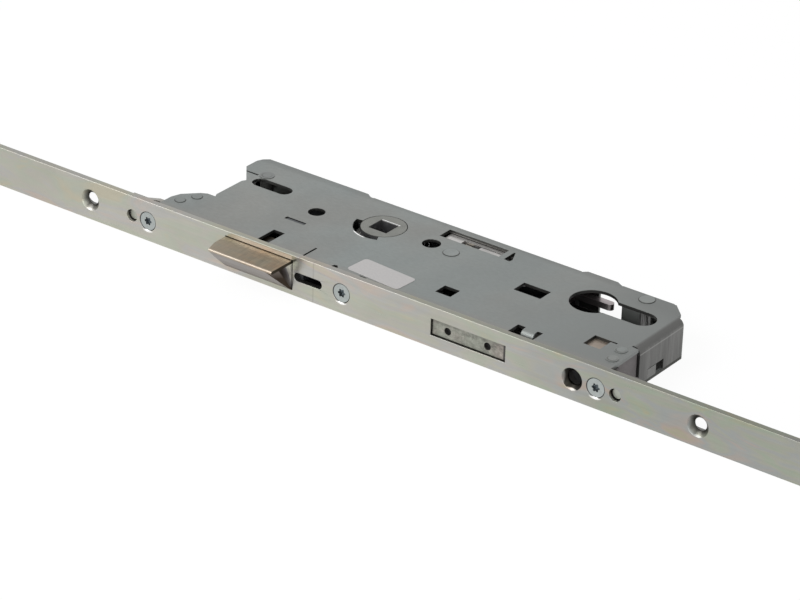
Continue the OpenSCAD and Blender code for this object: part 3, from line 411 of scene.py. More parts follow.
class Finish:
    """One procedural material in the lock's own coordinates, with places and lengths in millimetres."""

    def __init__(self, name, metallic, roughness):
        self.material = bpy.data.materials.new(name)
        self.material.use_nodes = True
        self.tree = self.material.node_tree
        self.shader = self.tree.nodes["Principled BSDF"]
        self.shader.inputs["Metallic"].default_value = metallic
        self.shader.inputs["Roughness"].default_value = roughness
        self.place = self.tree.nodes.new("ShaderNodeTexCoord").outputs["Object"]

    def node(self, kind, **inputs):
        made = self.tree.nodes.new(kind)
        for key, value in inputs.items():
            made.inputs[key].default_value = value
        return made

    def join(self, value, socket):
        """Feeds a socket from another node, or sets it to a number or a colour."""
        if hasattr(value, "links"):
            self.tree.links.new(value, socket)
        elif isinstance(value, tuple):
            socket.default_value = value + (1.0,)
        else:
            socket.default_value = value

    def noise(self, stretch, detail=3.0, roughness=0.6, distortion=0.0):
        """Noise with its own scale along each axis, in features a metre."""
        mapping = self.node("ShaderNodeMapping", Scale=stretch)
        self.join(self.place, mapping.inputs["Vector"])
        noise = self.node("ShaderNodeTexNoise", Scale=1.0, Detail=detail, Roughness=roughness,
                          Distortion=distortion)
        self.join(mapping.outputs["Vector"], noise.inputs["Vector"])
        return noise.outputs["Fac"]

    def ramp(self, source, stops):
        """Colours that follow each other at the given shares of a source."""
        ramp = self.node("ShaderNodeValToRGB")
        elements = ramp.color_ramp.elements
        while len(elements) < len(stops):
            elements.new(0.5)
        for element, (position, colour) in zip(elements, stops):
            element.position = position
            element.color = colour + (1.0,)
        self.join(source, ramp.inputs["Fac"])
        return ramp.outputs["Color"]

    def tones(self, source, colour, *stops):
        """Lighter and darker tones of one colour, as pairs of a share and a factor."""
        return self.ramp(source, [(share, scaled(colour, factor)) for share, factor in stops])

    def greys(self, source, *stops):
        """Grey factors to multiply by, as pairs of a share and a factor."""
        return self.ramp(source, [(share, (factor,) * 3) for share, factor in stops])

    def range(self, source, low, high, to_low=0.0, to_high=1.0):
        mapped = self.node("ShaderNodeMapRange")
        limits = {"From Min": low, "From Max": high, "To Min": to_low, "To Max": to_high}
        for key, value in limits.items():
            mapped.inputs[key].default_value = value
        self.join(source, mapped.inputs["Value"])
        return mapped.outputs["Result"]

    def either(self, mask, at_0, at_1):
        return self.range(mask, 0.0, 1.0, at_0, at_1)

    def mix(self, factor, a, b, blend="MIX"):
        mixed = self.tree.nodes.new("ShaderNodeMix")
        mixed.data_type = "RGBA"
        mixed.blend_type = blend
        factor_in, a_in, b_in = mixed.inputs[0], mixed.inputs[6], mixed.inputs[7]
        for value, socket in ((factor, factor_in), (a, a_in), (b, b_in)):
            self.join(value, socket)
        return mixed.outputs[2]

    def tint(self, base, factors, amount):
        return self.mix(amount, base, factors, "MULTIPLY")

    def paint(self, base, mask, mark):
        """Covers the base with a mark, given as its colour and its share, where the mask is 1."""
        colour, share = mark
        return self.mix(self.product(mask, share), base, colour)

    def math(self, operation, a, b=0.0):
        made = self.tree.nodes.new("ShaderNodeMath")
        made.operation = operation
        self.join(a, made.inputs[0])
        self.join(b, made.inputs[1])
        return made.outputs[0]

    def product(self, first, *others):
        for other in others:
            first = self.math("MULTIPLY", first, other)
        return first

    def total(self, first, *others):
        for other in others:
            first = self.math("ADD", first, other)
        return first

    def without(self, mask):
        return self.math("SUBTRACT", 1.0, mask)

    def axis(self, name):
        split = self.node("ShaderNodeSeparateXYZ")
        self.join(self.place, split.inputs[0])
        return split.outputs[name]

    def depth(self, axis):
        """Distance from the middle plane, to either side."""
        return self.math("ABSOLUTE", self.axis(axis))

    def past(self, axis, place):
        return self.math("SUBTRACT", self.axis(axis), place * MM)

    def distance(self, *places):
        """Distance from a line or point, given as its place along each of some axes."""
        offsets = [self.past(axis, place) for axis, place in places]
        return self.math("SQRT", self.total(*[self.product(offset, offset) for offset in offsets]))

    def slant(self, steps):
        """Distance along a slanting direction, given as axis, starting place and share of each axis."""
        parts = [self.product(self.past(axis, place), share) for axis, place, share in steps]
        return self.total(*parts)

    def step(self, source, start, end, at_start=0.0, at_end=1.0):
        """One value up to a length or distance, and another from a greater one."""
        return self.range(source, start * MM, end * MM, at_start, at_end)

    def fade(self, axis, start, end, at_start, at_end):
        return self.step(self.axis(axis), start, end, at_start, at_end)

    def above(self, axis, place, soft=SOFT):
        """0 up to a place along an axis and 1 from there on, with a soft change past the place."""
        return self.fade(axis, place, place + soft, 0.0, 1.0)

    def below(self, axis, place, soft=SOFT):
        return self.fade(axis, place - soft, place, 1.0, 0.0)

    def between(self, axis, start, end):
        return self.product(self.above(axis, start), self.below(axis, end))

    def band(self, source, centre, half_width, soft):
        """1 within half_width of the centre, falling to 0 over soft."""
        away = self.math("ABSOLUTE", self.math("SUBTRACT", source, centre * MM))
        return self.within(away, half_width, soft)

    def within(self, distance, radius, soft=SOFT):
        return self.step(distance, radius, radius + soft, 1.0, 0.0)

    def feed(self, name, source):
        self.join(source, self.shader.inputs[name])

    def bump(self, source, strength, depth=0.02):
        bump = self.node("ShaderNodeBump", Strength=strength, Distance=depth * MM)
        self.join(source, bump.inputs["Height"])
        self.feed("Normal", bump.outputs["Normal"])


def lengthwise_shade(f, bright, shaded):
    """Painted shade: tone that falls off in two steps towards the lower end of the lock."""
    falls = [f.product(f.above("X", start, length), share) for start, length, share in FALLOFF_SHADE]
    return f.mix(f.total(*falls), bright, shaded)


def strip_tone(f):
    """Streaks along the strip, with painted shade towards its lower end, weak rainbow patches and smudges.
    """
    streaks = f.noise(STRIP_STREAKS, detail=4.0)
    bright = f.tones(streaks, FACE_ZINC, (0.30, 0.96), (0.70, 1.03))
    shaded = f.tones(streaks, FACE_SHADED, (0.30, 0.96), (0.70, 1.04))
    base = lengthwise_shade(f, bright, shaded)
    base = f.mix(f.below("X", *UPPER_STRETCH), base, scaled(FACE_ZINC, 0.93))
    patches = f.noise(STRIP_PATCHES, detail=2.5, distortion=0.8)
    base = f.tint(base, f.ramp(patches, RAINBOW), f.fade("X", *TINT_FADE))
    smudges = f.noise(STRIP_SMUDGES, detail=5.0)
    return f.tint(base, f.greys(smudges, (0.3, 0.93), (0.7, 1.05)), amount=0.6)


def strip_lines(f, base):
    """A line scribed across the strip, and painted shade on its sheared edges, each with a painted
    highlight along the rim in front.
    """
    base = f.paint(base, f.band(f.axis("X"), *SCRIBE_LINE), SCRIBE)
    sheared = f.step(f.depth("Z"), *SHEARED)
    base = f.paint(base, f.product(sheared, f.fade("X", *SHEAR_FADE)), SHEARED_EDGE_SHADE)
    rim = f.product(f.band(f.depth("Z"), *RIM_LINE), f.below("Y", FACE_FRONT + 0.25))
    return f.paint(base, f.product(rim, f.fade("X", *RIM_FADE)), RIM_HIGHLIGHT)


def strip_openings(f, base):
    """Painted shade on the walls of the openings, and a painted highlight on the strip beside the latch.
    """
    slots = f.total(*[f.between("X", start, end) for start, end in (LATCH_SLOTS, BOLT_SLOT)])
    shallow = f.product(f.above("Y", FACE_FRONT + 0.04), slots)
    deep = f.math("MAXIMUM", shallow, f.above("Y", FACE_FRONT + 0.3, soft=1.2))
    end_of_hole = f.band(f.axis("X"), *LATCH_HOLE_END)
    inside = f.product(
        deep, f.below("Y", FACE_BACK - 0.05, soft=0.04), f.without(end_of_hole),
        f.within(f.depth("Z"), OPENING_HALF),
    )
    base = f.paint(base, inside, OPENING_WALL_SHADE)
    start, end = BESIDE_LATCH_ENDS
    strip = f.product(f.above("X", start, soft=6.0), f.below("X", end, soft=0.6))
    return f.paint(base, f.product(strip, f.band(f.axis("Z"), *BESIDE_LATCH_LINE)), BESIDE_LATCH_HIGHLIGHT)


def strip_sinks(f, base):
    """Painted shade in the countersinks of the empty screw holes, weaker on one side."""
    shade_mottle = f.range(f.noise(SINK_SHADE_MOTTLE, detail=4.0), low=0.35, high=0.6, to_low=1.0, to_high=0.95)
    for x, radius, share in SINKS:
        away = f.distance(("X", x), ("Z", 0.0))
        weaker = f.fade("X", x - SINK_WEAK_SIDE, x - SINK_WEAK_SIDE + 0.5, SINK_WEAK_SHARE, 1.0)
        sink = f.product(
            f.within(away, radius, soft=0.2), f.above("Z", SINK_FROM_Z, soft=0.25),
            f.above("Y", FACE_FRONT + 0.03), weaker, shade_mottle,
        )
        base = f.paint(base, sink, (SINK_SHADE, share))
    return base


def strip_latch_end_shade(f, base):
    """A slanting band of painted shade at the lower end of the latch opening."""
    start, end = LATCH_END_SHADE_ENDS
    latch_end_shade = f.product(f.band(f.slant(LATCH_END_SHADE_ACROSS), *LATCH_END_SHADE_LINE), f.below("X", end, soft=0.8))
    latch_end_shade = f.product(latch_end_shade, f.above("X", start, soft=0.2), f.below("Y", FACE_FRONT + 0.1, soft=0.05))
    return f.paint(base, latch_end_shade, LATCH_END_SHADE)


def strip_screws(f, base):
    """Painted shade in the gap round each screw head, with a painted glint on one side of the rim."""
    for x in SCREWS:
        away = f.distance(("X", x), ("Z", 0.0))
        base = f.paint(base, f.within(away, SINK_RADIUS - 0.15, soft=0.15), SCREW_GAP_SHADE)
        glint = f.product(f.band(away, *GLINT_RING), f.below("Z", GLINT_TOP, soft=0.4))
        base = f.paint(base, glint, SCREW_GLINT)
    return base


def zinc_strip():
    """Faceplate: zinc plated strip with its edges, openings and countersinks."""
    f = Finish("zinc_strip", metallic=0.85, roughness=0.33)
    base = strip_tone(f)
    for layer in (strip_lines, strip_openings, strip_sinks, strip_latch_end_shade, strip_screws):
        base = layer(f, base)
    f.feed("Base Color", base)
    f.feed("Roughness", f.range(f.noise(STRIP_ROLLING), *MIDDLE, to_low=0.27, to_high=0.38))
    f.bump(f.noise(STRIP_GRAIN), strength=0.12)
    return f.material


def cloudy_zinc(f, colour):
    """Galvanised sheet: faint clouds, a slight shift of hue and short fine scratches."""
    clouds = f.noise(SHEET_CLOUDS, detail=5.0)
    base = f.tones(clouds, colour, (0.30, 1.0 - MOTTLE), (0.70, 1.0 + MOTTLE))
    base = f.tint(base, f.ramp(f.noise(SHEET_HUE, detail=2.0), SHEET_TINTS), amount=0.7)
    grain = f.noise(SHEET_GRAIN, detail=4.0, roughness=0.7)
    base = f.tint(base, f.greys(grain, (0.35, 0.90), (0.65, 1.08)), amount=0.5)
    f.feed("Roughness", f.range(clouds, *MIDDLE, to_low=0.40, to_high=0.52))
    f.bump(grain, strength=0.12)
    return base


def cover_tone(f):
    """Matt sheet with painted shade towards the lower end, painted warm light from the faceplate beside
    it, and painted shade at the rear bend and the lower rear corner.
    """
    base = lengthwise_shade(f, cloudy_zinc(f, CASE_ZINC), scaled(CASE_ZINC, 0.79))
    base = f.paint(base, f.below("Y", FACE_BACK + 3.0, soft=3.0), FACEPLATE_BOUNCE_LIGHT)
    rear = f.product(f.above("Y", *REAR_SHADE), REAR_SHARE)
    corner = f.product(f.above("X", *CORNER_SHADE_X), f.above("Y", *CORNER_SHADE_Y), CORNER_SHARE)
    return f.mix(f.math("MAXIMUM", rear, corner), base, ZINC_SHADE)


def cover_end_wall(f, base):
    """Brushed end wall in painted shade, darkest beside the faceplate and darker on its bend, with a
    painted highlight line below its bend.
    """
    marks = f.noise(WALL_STROKES, detail=4.0, roughness=0.7)
    wall = f.tones(marks, SHADED_END_ZINC, (0.30, 0.66), (0.52, 1.0), (0.75, 1.4))
    wall = f.mix(f.fade("Y", *WALL_SHADE), wall, scaled(SHADED_END_ZINC, 0.5))
    wall = f.mix(f.below("X", COVER_END - 0.02, soft=0.25), wall, scaled(SHADED_END_ZINC, 0.80))
    wall = f.paint(wall, f.band(f.axis("Z"), *BEND_HIGHLIGHT_LINE), (scaled(SHADED_END_ZINC, 1.9), BEND_HIGHLIGHT_SHARE))
    on_wall = f.product(f.above("X", END_WALL - 0.2, soft=1.2), f.above("Y", WALL_FRONT))
    return f.mix(on_wall, base, wall)


def cover_stakes(f, base):
    """Painted shade along the rims of the staked discs."""
    for x, y, radius in STAKES:
        rim = f.band(f.distance(("X", x), ("Y", y)), radius + STAKE_GAP, *STAKE_RIM)
        base = f.paint(base, rim, STAKE_SHADE)
    return base


def cover_lobe_highlight(f, base):
    """Painted highlight on the lobe of the spindle hole."""
    lobe_highlight = f.band(f.distance(("X", 0.0), ("Y", 0.0)), *LOBE_HIGHLIGHT_RING)
    return f.paint(base, f.product(lobe_highlight, f.below("X", *LOBE_HIGHLIGHT_X), f.below("Y", *LOBE_HIGHLIGHT_Y)), LOBE_HIGHLIGHT)


def cover_inside(f, base):
    """Painted shade inside and on the cut edges, apart from the strip curled down in the front window."""
    inside = f.product(
        f.below("Z", COVER_TOP - 0.10, soft=0.05), f.below("X", END_WALL),
        f.below("Y", REAR_BEND, soft=0.05),
    )
    start, end, y = CURL
    curl = f.product(f.between("X", start, end), f.below("Y", y))
    return f.mix(f.product(inside, f.without(curl)), base, INSIDE_SHADE)


def cover_window(f, base):
    """Painted light and shade on the cut edge at the front of the rear window."""
    start, end, y = REAR_WINDOW
    window = f.product(f.between("X", start, end), f.band(f.axis("Y"), y, half_width=0.1, soft=0.05))
    window = f.product(window, f.below("Z", WINDOW_TOP, soft=0.2))
    edge = f.mix(f.above("X", *WINDOW_TURN), WINDOW_EDGE_LIT, WINDOW_EDGE_SHADED)
    return f.paint(base, window, (edge, WINDOW_SHARE))


def cover_finish():
    """Cover: matt outside with painted light and shade on it, a brushed end wall in painted shade, painted
    shade on the cut edges and inside.
    """
    f = Finish("galvanised_cover", metallic=0.75, roughness=0.46)
    base = cover_tone(f)
    for layer in (cover_end_wall, cover_stakes, cover_lobe_highlight, cover_inside, cover_window):
        base = layer(f, base)
    f.feed("Base Color", base)
    return f.material


def base_finish():
    """Base plate: matt outside, painted shade inside, with a lighter tab at the end wall in the end wall's
    painted shade, and painted shade on its end edge.
    """
    f = Finish("galvanised_base", metallic=0.75, roughness=0.46)
    base = cloudy_zinc(f, CASE_ZINC)
    covered = f.math("MAXIMUM", f.above("X", COVER_START, soft=0.5), f.above("Z", DRIVE_TOP, soft=0.3))
    inside = f.product(
        f.above("Z", -COVER_TOP + 0.05, soft=0.05), f.below("Y", REAR_INNER),
        f.below("X", COVER_END - 1.0),
    )
    base = f.mix(f.product(inside, covered), base, INSIDE_SHADE)
    tab = f.product(f.above("X", COVER_END - 1.5), f.above("Z", -SHEET_INNER, soft=0.05))
    base = f.mix(tab, base, scaled(SHADED_END_ZINC, 1.25))
    edge = f.product(f.above("X", COVER_END - 0.05, soft=0.03), f.below("Z", -SHEET_INNER, soft=0.05))
    f.feed("Base Color", f.paint(base, edge, BASE_EDGE_SHADE))
    return f.material


def stamped(f, base):
    """Small stamped rings of painted shade, strongest on the side towards the faceplate."""
    for x, y, radius in STAMPED:
        ring = f.band(f.distance(("X", x), ("Y", y)), radius, *STAMP_RING)
        base = f.paint(base, f.product(ring, f.below("Y", y + radius, soft=2.0 * radius)), STAMP_SHADE)
    return base


def pillar_finish():
    """Pillars: turned sides, matt and in painted shade at the upper end, where the disc is darker, with a
    lighter staked disc on the cover.
    """
    f = Finish("pillar_zinc", metallic=0.8, roughness=0.36)
    upper = f.below("X", UPPER_PILLARS, soft=1.0)
    side = f.mix(upper, f.ramp(f.noise(PILLAR_RINGS), PILLAR_SIDE), INSIDE_SHADE)
    disc = cloudy_zinc(f, scaled(CASE_ZINC, 0.95))
    disc = f.mix(upper, disc, scaled(CASE_ZINC, 0.80))
    f.feed("Base Color", f.mix(f.above("Z", COVER_TOP + 0.05, soft=0.05), side, stamped(f, disc)))
    hidden = f.product(upper, f.below("Z", COVER_TOP, soft=0.2))
    f.feed("Roughness", f.either(hidden, at_0=0.36, at_1=0.95))
    f.feed("Metallic", f.either(hidden, at_0=0.8, at_1=0.0))
    return f.material


def rivet_finish():
    """Staked rivets on the ears, lighter than the cover."""
    f = Finish("rivet_zinc", metallic=0.75, roughness=0.42)
    f.feed("Base Color", stamped(f, cloudy_zinc(f, scaled(CASE_ZINC, 0.93))))
    return f.material


def tumbler_finish():
    """Tumbler: a bright nose, a lug beside it in brown painted shade, and painted shade between them."""
    f = Finish("tumbler_zinc", metallic=0.8, roughness=0.34)
    grain = f.noise(FINE_GRAIN, detail=4.0)
    bright = f.tones(grain, BRIGHT_ZINC, (0.30, 1.0), (0.70, 1.4))
    base = f.mix(f.below("X", LUG_END, soft=0.4), bright, f.ramp(grain, TUMBLER_LUG_SHADE))
    f.feed("Base Color", f.paint(base, f.between("X", *LUG_SIDE), TUMBLER_SIDE_SHADE))
    f.bump(grain, strength=0.15)
    return f.material


def bracket_finish():
    """Zinc sheet, dark at its web, whose flange and foot have a brown tint."""
    f = Finish("bracket_zinc", metallic=0.75, roughness=0.42)
    clouds = f.noise(BRACKET_CLOUDS, detail=4.0)
    brown = f.tones(clouds, BRACKET_BROWN, (0.35, 0.85), (0.65, 1.2))
    grey = f.tones(clouds, BRACKET_ZINC, (0.35, 0.85), (0.65, 1.15))
    pale = f.tones(clouds, BRACKET_PALE, (0.35, 0.9), (0.65, 1.1))
    base = f.mix(f.above("X", LOWER_WEB, soft=1.0), brown, grey)
    f.feed("Base Color", f.mix(f.below("X", UPPER_BRACKET, soft=1.0), base, pale))
    f.bump(clouds, strength=0.15)
    return f.material


def brushed(name, colour, stretch, roughness=0.34, spread=0.08, metallic=0.85):
    """Ground or brushed metal with streaks that run along one axis."""
    f = Finish(name, metallic, roughness)
    streaks = f.noise(stretch, detail=5.0, roughness=0.65)
    f.feed("Base Color", f.tones(streaks, colour, (0.30, 1.0 - spread), (0.70, 1.0 + spread)))
    f.feed("Roughness", f.range(streaks, *MIDDLE, to_low=roughness - 0.05, to_high=roughness + 0.08))
    f.bump(streaks, strength=0.20)
    return f.material


def screw_finish():
    """Bright screws, with painted shade in the driver recess."""
    f = Finish("screw_zinc", metallic=0.85, roughness=0.30)
    grain = f.noise(SCREW_GRAIN)
    face = f.tones(grain, SCREW_ZINC, (0.30, 0.92), (0.70, 1.06))
    f.feed("Base Color", f.paint(face, f.above("Y", FACE_FRONT + 0.34, soft=0.25), SCREW_RECESS_SHADE))
    f.bump(grain, strength=0.2)
    return f.material


def latch_top(f, streaks):
    """Brownish nickel with blots and crossing strokes, paler towards its upper end."""
    top = f.tones(streaks, LATCH_BROWN, (0.30, 0.86), (0.70, 1.16))
    blots = f.noise(LATCH_BLOTS, detail=4.0)
    top = f.tint(top, f.ramp(blots, LATCH_TINTS), amount=0.7)
    strokes = f.noise(LATCH_STROKES, detail=4.0, roughness=0.7)
    top = f.tint(top, f.greys(strokes, (0.36, 0.76), (0.64, 1.18)), amount=0.8)
    return f.mix(f.fade("X", *LATCH_FADE), top, LATCH_PALE)


def latch_finish():
    """Brushed brownish nickel: a lighter slope, a smooth end with painted shade and a painted reflection,
    painted shade on the bevel, the top plate's end and inside the case, and a painted highlight on the
    nose.
    """
    f = Finish("latch_nickel", metallic=0.85, roughness=0.36)
    streaks = f.noise(LATCH_STREAKS, detail=5.0, roughness=0.65)
    slope = f.tones(streaks, LATCH_SLOPE, (0.30, 0.92), (0.70, 1.10))
    base = f.mix(f.below("Z", LATCH_PLATE, soft=0.25), latch_top(f, streaks), slope)
    nose_y, nose_z = LATCH_NOSE_AT
    nose = f.product(f.below("Y", nose_y, soft=0.3), f.above("Z", nose_z, soft=0.3))
    base = f.paint(base, nose, LATCH_NOSE_HIGHLIGHT)
    end = f.above("X", LATCH_END - 0.06, soft=0.02)
    base = f.mix(end, base, f.ramp(f.step(f.slant(END_SHADING_ACROSS), *END_SHADING_WIDTH), END_SHADING))
    bevel = f.step(f.slant(LATCH_BEVEL), -0.12, -0.06)
    bevel = f.product(bevel, f.below("Z", LATCH_PLATE - 0.05, soft=0.05))
    base = f.mix(bevel, base, LATCH_BEVEL_SHADE)
    # Painted shade on the end of the latch's top plate, and on its parts inside the case
    plate = f.product(end, f.above("Z", LATCH_PLATE, soft=0.05))
    base = f.mix(plate, base, scaled(LATCH_BROWN, 0.32))
    shallow = f.product(f.above("Y", FACE_FRONT + 0.3, soft=0.5), f.without(end))
    deep = f.math("MAXIMUM", shallow, f.above("Y", FACE_FRONT + 1.0, soft=0.5))
    f.feed("Base Color", f.mix(deep, base, scaled(LATCH_BROWN, 0.22)))
    brushed_part = f.range(streaks, *MIDDLE, to_low=0.30, to_high=0.42)
    f.feed("Roughness", f.mix(end, brushed_part, LATCH_END_ROUGHNESS))
    f.feed("Metallic", f.either(bevel, at_0=0.85, at_1=0.0))
    f.feed("Specular IOR Level", f.either(bevel, at_0=0.5, at_1=0.05))
    f.bump(streaks, strength=0.20)
    return f.material


def sawn_face(f, marks):
    """Blotchy grey with fine saw marks, with painted shade near its upper edge and at its lower end."""
    blotches = f.noise(BOLT_BLOTCHES, detail=6.0, roughness=0.75)
    base = f.tones(blotches, BOLT_STEEL, (0.35, 0.38), (0.45, 0.82), (0.55, 1.08), (0.68, 1.62))
    base = f.mix(0.3, base, f.tones(marks, BOLT_STEEL, (0.35, 0.8), (0.65, 1.15)))
    base = f.tint(base, f.ramp(f.noise(BOLT_HUE), BOLT_TINTS), amount=1.0)
    top_shade = f.range(f.noise(BOLT_SHADE_PATCHES, detail=4.0), low=0.36, high=0.54)
    top_shade = f.product(top_shade, f.band(f.axis("Z"), *TOP_SHADE_LINE))
    base = f.paint(base, top_shade, (scaled(BOLT_STEEL, 0.35), TOP_SHADE_SHARE))
    end_shade = f.product(f.above("X", BOLT_END, soft=0.35), f.below("Y", FACE_FRONT + 1.4, soft=0.3))
    return f.paint(base, end_shade, BOLT_END_SHADE)


def sawn_steel():
    """Deadbolt: a sawn face, and duller sides with a band of painted shade near the face."""
    f = Finish("sawn_steel", metallic=0.7, roughness=0.42)
    marks = f.noise(SAW_MARKS)
    side = f.tones(marks, BOLT_STEEL, (0.35, 0.60), (0.65, 0.82))
    side = f.paint(side, f.band(f.axis("Y"), *SIDE_LINE), BOLT_SIDE_SHADE)
    f.feed("Base Color", f.mix(f.above("Y", FACE_FRONT + 1.0, soft=0.3), sawn_face(f, marks), side))
    f.bump(marks, strength=0.2, depth=0.03)
    return f.material


def hub_finish():
    """Follower: turned collars outside, a dark square inside with arms painted light, and a painted
    highlight on the lip at the square.
    """
    f = Finish("hub_zinc", metallic=0.8, roughness=0.38)
    grain = f.noise(FINE_GRAIN, detail=4.0)
    face = f.tones(grain, HUB_ZINC, (0.30, 0.88), (0.70, 1.10))
    away = f.distance(("X", 0.0), ("Y", 0.0))
    turned = f.product(f.math("SINE", f.product(away, HUB_WAVES)), 0.5)
    rings = f.greys(f.total(turned, 0.5), (0.0, 0.92), (1.0, 1.07))
    face = f.tint(face, rings, amount=0.8)
    arm = f.product(f.above("Z", ARM_Z), f.step(away, ARM_RADIUS, ARM_RADIUS + 0.2))
    inside = f.paint(f.ramp(grain, HUB_INSIDE), arm, HUB_ARM_LIGHT)
    base = f.mix(f.within(f.depth("Z"), COLLAR_Z, soft=0.35), face, inside)
    lip = f.product(
        f.band(f.axis("Y"), *LIP_Y), f.band(f.axis("X"), *LIP_X),
        f.step(f.depth("Z"), COLLAR_Z, COLLAR_Z + 0.1),
    )
    f.feed("Base Color", f.paint(base, lip, HUB_LIP_HIGHLIGHT))
    f.bump(grain, strength=0.15)
    return f.material


def slide_finish():
    """Rear slide: bright under its window, with a pinkish tongue in the cylinder hole and painted shade on
    the tongue's side.
    """
    f = Finish("slide_zinc", metallic=0.85, roughness=0.32)
    streaks = f.noise(SLIDE_STREAKS, detail=4.0)
    bright = f.tones(streaks, BRIGHT_ZINC, (0.30, 1.15), (0.70, 1.7))
    tongue = f.tones(streaks, TONGUE_ZINC, (0.30, 0.92), (0.70, 1.08))
    base = f.mix(f.above("X", TONGUE_START, soft=4.0), bright, tongue)
    side_x, side_z = TONGUE_SIDE_AT
    side = f.product(f.above("X", side_x, soft=0.5), f.below("Z", side_z))
    f.feed("Base Color", f.paint(base, side, TONGUE_SIDE_SHADE))
    f.bump(streaks, strength=0.12)
    return f.material


def drawn_wire():
    f = Finish("drawn_wire", metallic=0.9, roughness=0.28)
    f.feed("Base Color", f.tones(f.noise(WIRE_STREAKS), SPRING_STEEL, (0.3, 0.85), (0.7, 1.1)))
    return f.material


def moulded_liner():
    f = Finish("moulded_liner", metallic=0.0, roughness=0.5)
    grain = f.noise(LINER_GRAIN)
    f.feed("Base Color", f.tones(grain, LINER, (0.3, 0.9), (0.7, 1.1)))
    f.bump(grain, strength=0.15)
    return f.material


def label_paper():
    f = Finish("label_paper", metallic=0.0, roughness=0.55)
    fibres = f.noise(PAPER_FIBRES, detail=4.0)
    f.feed("Base Color", f.tones(fibres, LABEL, (0.3, 0.95), (0.7, 1.04)))
    f.bump(fibres, strength=0.10, depth=0.01)
    return f.material


def finishes():
    """Material of every carried-over part."""
    guide = brushed("guide_zinc", GUIDE_ZINC, FINE_GRAIN, roughness=0.42, spread=0.15, metallic=0.6)
    bracket = bracket_finish()
    rod = brushed("rolled_rod", ROD_ZINC, ROD_STREAKS, roughness=0.38, spread=0.10, metallic=0.8)
    turned = brushed("turned_steel", TURNED_STEEL, TURNED_RINGS, roughness=0.27)
    dark = brushed("dark_steel", DARK_STEEL, DARK_GRAIN, roughness=0.45, spread=0.25, metallic=0.6)
    inserts = brushed("hardened_steel_in_shade", INSERT_SHADE, DARK_GRAIN, roughness=0.5, spread=0.25, metallic=0.3)
    wire = drawn_wire()
    return {
        "faceplate": zinc_strip(),
        "case_cover": cover_finish(),
        "case_base": base_finish(),
        "spacer_pillars": pillar_finish(),
        "upper_bracket": bracket,
        "lower_bracket": bracket,
        "bracket_rivets": rivet_finish(),
        "locating_studs": brushed("stud_zinc", STUD_ZINC, FINE_GRAIN),
        "face_screws": screw_finish(),
        "screw_block": dark,
        "latch_guide": guide,
        "latch_liner": moulded_liner(),
        "latch_spring_seat": guide,
        "latch_bolt": latch_finish(),
        "latch_shank": dark,
        "latch_pin": dark,
        "latch_spring": wire,
        "follower": hub_finish(),
        "follower_spring": wire,
        "follower_spring_seat": guide,
        "deadbolt": sawn_steel(),
        "deadbolt_inserts": inserts,
        "deadbolt_pin": brushed("bright_zinc", BRIGHT_ZINC, FINE_GRAIN, roughness=0.32),
        "drive_plate": guide,
        "rear_slide": slide_finish(),
        "slide_rivets": dark,
        "upper_rod": rod,
        "lower_rod": rod,
        "roller_studs": turned,
        "upper_roller": turned,
        "lower_roller": turned,
        "rod_guides": turned,
        "tumbler": tumbler_finish(),
        "tumbler_spring": wire,
        "label": label_paper(),
    }


def soften(obj, width):
    """Rounds the sharp edges of a carried-over part by a modifier, so its mesh stays as packed."""
    weld = obj.modifiers.new("weld", "WELD")
    weld.merge_threshold = WELD_GAP * MM
    bevel = obj.modifiers.new("edge", "BEVEL")
    bevel.width = width * MM
    bevel.segments = EDGE_SEGMENTS
    bevel.limit_method = "ANGLE"
    bevel.angle_limit = EDGE_ANGLE
    bevel.harden_normals = False
    bevel.use_clamp_overlap = True
    obj.modifiers.new("normals", "WEIGHTED_NORMAL").keep_sharp = True


def dress(nodes):
    for name, material in finishes().items():
        obj = nodes[name]
        obj.data.shade_smooth()
        obj.data.set_sharp_from_angle(angle=SHARP_ANGLE)
        obj.data.materials.clear()
        obj.data.materials.append(material)
        if name in EDGES:
            soften(obj, EDGES[name])


def springs(nodes):
    """Copies with the shape of the springs, attached to the case, in place of the springs, which are
    hidden.
    """
    for name, (shown_as, joint, axis, fixed_end, keep) in SPRINGS.items():
        piece = bpy.data.objects.new(shown_as, nodes[name].data.copy())
        bpy.context.scene.collection.objects.link(piece)
        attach(piece, "case")
        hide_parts(name)
        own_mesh(piece)


def seen_directly(tree):
    """1 for camera, mirror and glass rays, and 0 for all others."""
    path = tree.nodes.new("ShaderNodeLightPath")
    seen = path.outputs["Is Camera Ray"]
    for kind in ("Is Glossy Ray", "Is Transmission Ray"):
        either = tree.nodes.new("ShaderNodeMath")
        either.operation = "MAXIMUM"
        tree.links.new(seen, either.inputs[0])
        tree.links.new(path.outputs[kind], either.inputs[1])
        seen = either.outputs[0]
    return seen


def floor_surface():
    """Lit surface that also glows to camera and mirror rays, so it stays pale and keeps its shadow."""
    material = bpy.data.materials.new("floor_white")
    material.use_nodes = True
    tree = material.node_tree
    shader = tree.nodes["Principled BSDF"]
    shader.inputs["Base Color"].default_value = (*FLOOR_COLOUR, 1.0)
    shader.inputs["Roughness"].default_value = FLOOR_ROUGHNESS
    shader.inputs["Specular IOR Level"].default_value = 0.0
    light = tree.nodes.new("ShaderNodeEmission")
    light.inputs["Strength"].default_value = FLOOR_STRENGTH
    share = tree.nodes.new("ShaderNodeMath")
    share.operation = "MULTIPLY"
    share.inputs[1].default_value = FLOOR_GLOW
    mix = tree.nodes.new("ShaderNodeMixShader")
    tree.links.new(seen_directly(tree), share.inputs[0])
    tree.links.new(share.outputs[0], mix.inputs[0])
    tree.links.new(shader.outputs[0], mix.inputs[1])
    tree.links.new(light.outputs[0], mix.inputs[2])
    tree.links.new(mix.outputs[0], tree.nodes["Material Output"].inputs["Surface"])
    return material


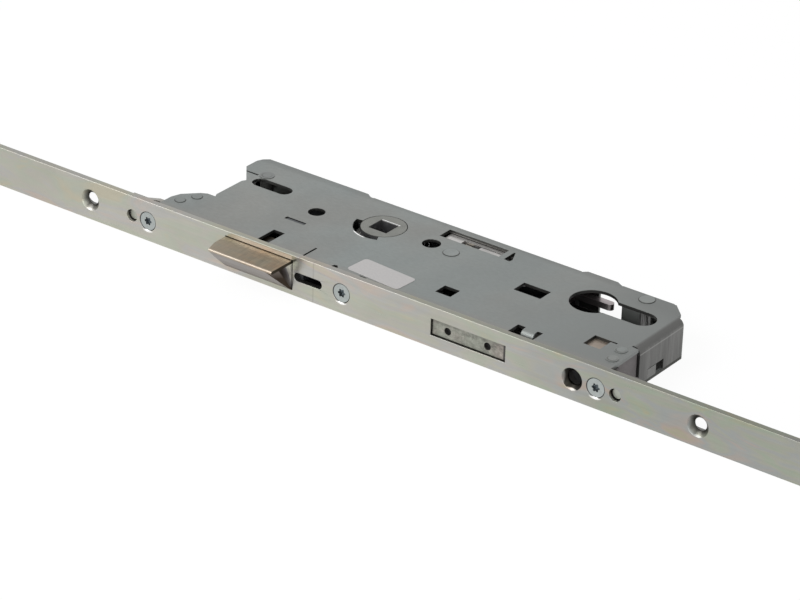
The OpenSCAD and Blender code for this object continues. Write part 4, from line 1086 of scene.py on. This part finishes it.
def floor():
    mesh = bpy.data.meshes.new("floor")
    h = FLOOR_SIZE / 2
    corners = [(-h, -h, FLOOR_Z), (h, -h, FLOOR_Z), (h, h, FLOOR_Z), (-h, h, FLOOR_Z)]
    mesh.from_pydata(corners, [], [(0, 1, 2, 3)])
    obj = bpy.data.objects.new("floor", mesh)
    obj.data.materials.append(floor_surface())
    bpy.context.scene.collection.objects.link(obj)


def world():
    """White to camera and mirror rays, and a plain soft light to everything else."""
    made = bpy.data.worlds.new("studio")
    bpy.context.scene.world = made
    made.use_nodes = True
    tree = made.node_tree
    background = tree.nodes["Background"]
    background.inputs["Color"].default_value = (1.0, 1.0, 1.0, 1.0)
    level = tree.nodes.new("ShaderNodeMapRange")
    level.inputs["To Min"].default_value = WORLD_LIGHT
    level.inputs["To Max"].default_value = 1.0
    tree.links.new(seen_directly(tree), level.inputs["Value"])
    tree.links.new(level.outputs["Result"], background.inputs["Strength"])


def lamps():
    for name, (place, size, power) in LAMPS.items():
        light = bpy.data.lights.new(name, "AREA")
        light.shape = "SQUARE"
        light.size = size
        light.energy = power
        obj = bpy.data.objects.new(name, light)
        obj.location = place
        obj.rotation_euler = (Vector(AIM) - Vector(place)).to_track_quat("-Z", "Y").to_euler()
        bpy.context.scene.collection.objects.link(obj)


def camera():
    data = bpy.data.cameras.new("camera")
    data.sensor_width = SENSOR
    data.lens = FOCAL_PX / IMAGE_WIDTH * SENSOR
    data.clip_start = VIEW_START
    data.clip_end = VIEW_END
    obj = bpy.data.objects.new("camera", data)
    turn = Matrix([CAMERA_RIGHT, [-c for c in CAMERA_DOWN], [-c for c in CAMERA_FORWARD]]).transposed()
    obj.matrix_world = Matrix.Translation(Vector(CAMERA_AT) * MM) @ turn.normalized().to_4x4()
    bpy.context.scene.collection.objects.link(obj)
    bpy.context.scene.camera = obj


def main():
    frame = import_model()
    dress(frame["nodes"])
    springs(frame["nodes"])
    floor()
    world()
    lamps()
    camera()
    bpy.context.scene.view_settings.view_transform = "Standard"


main()
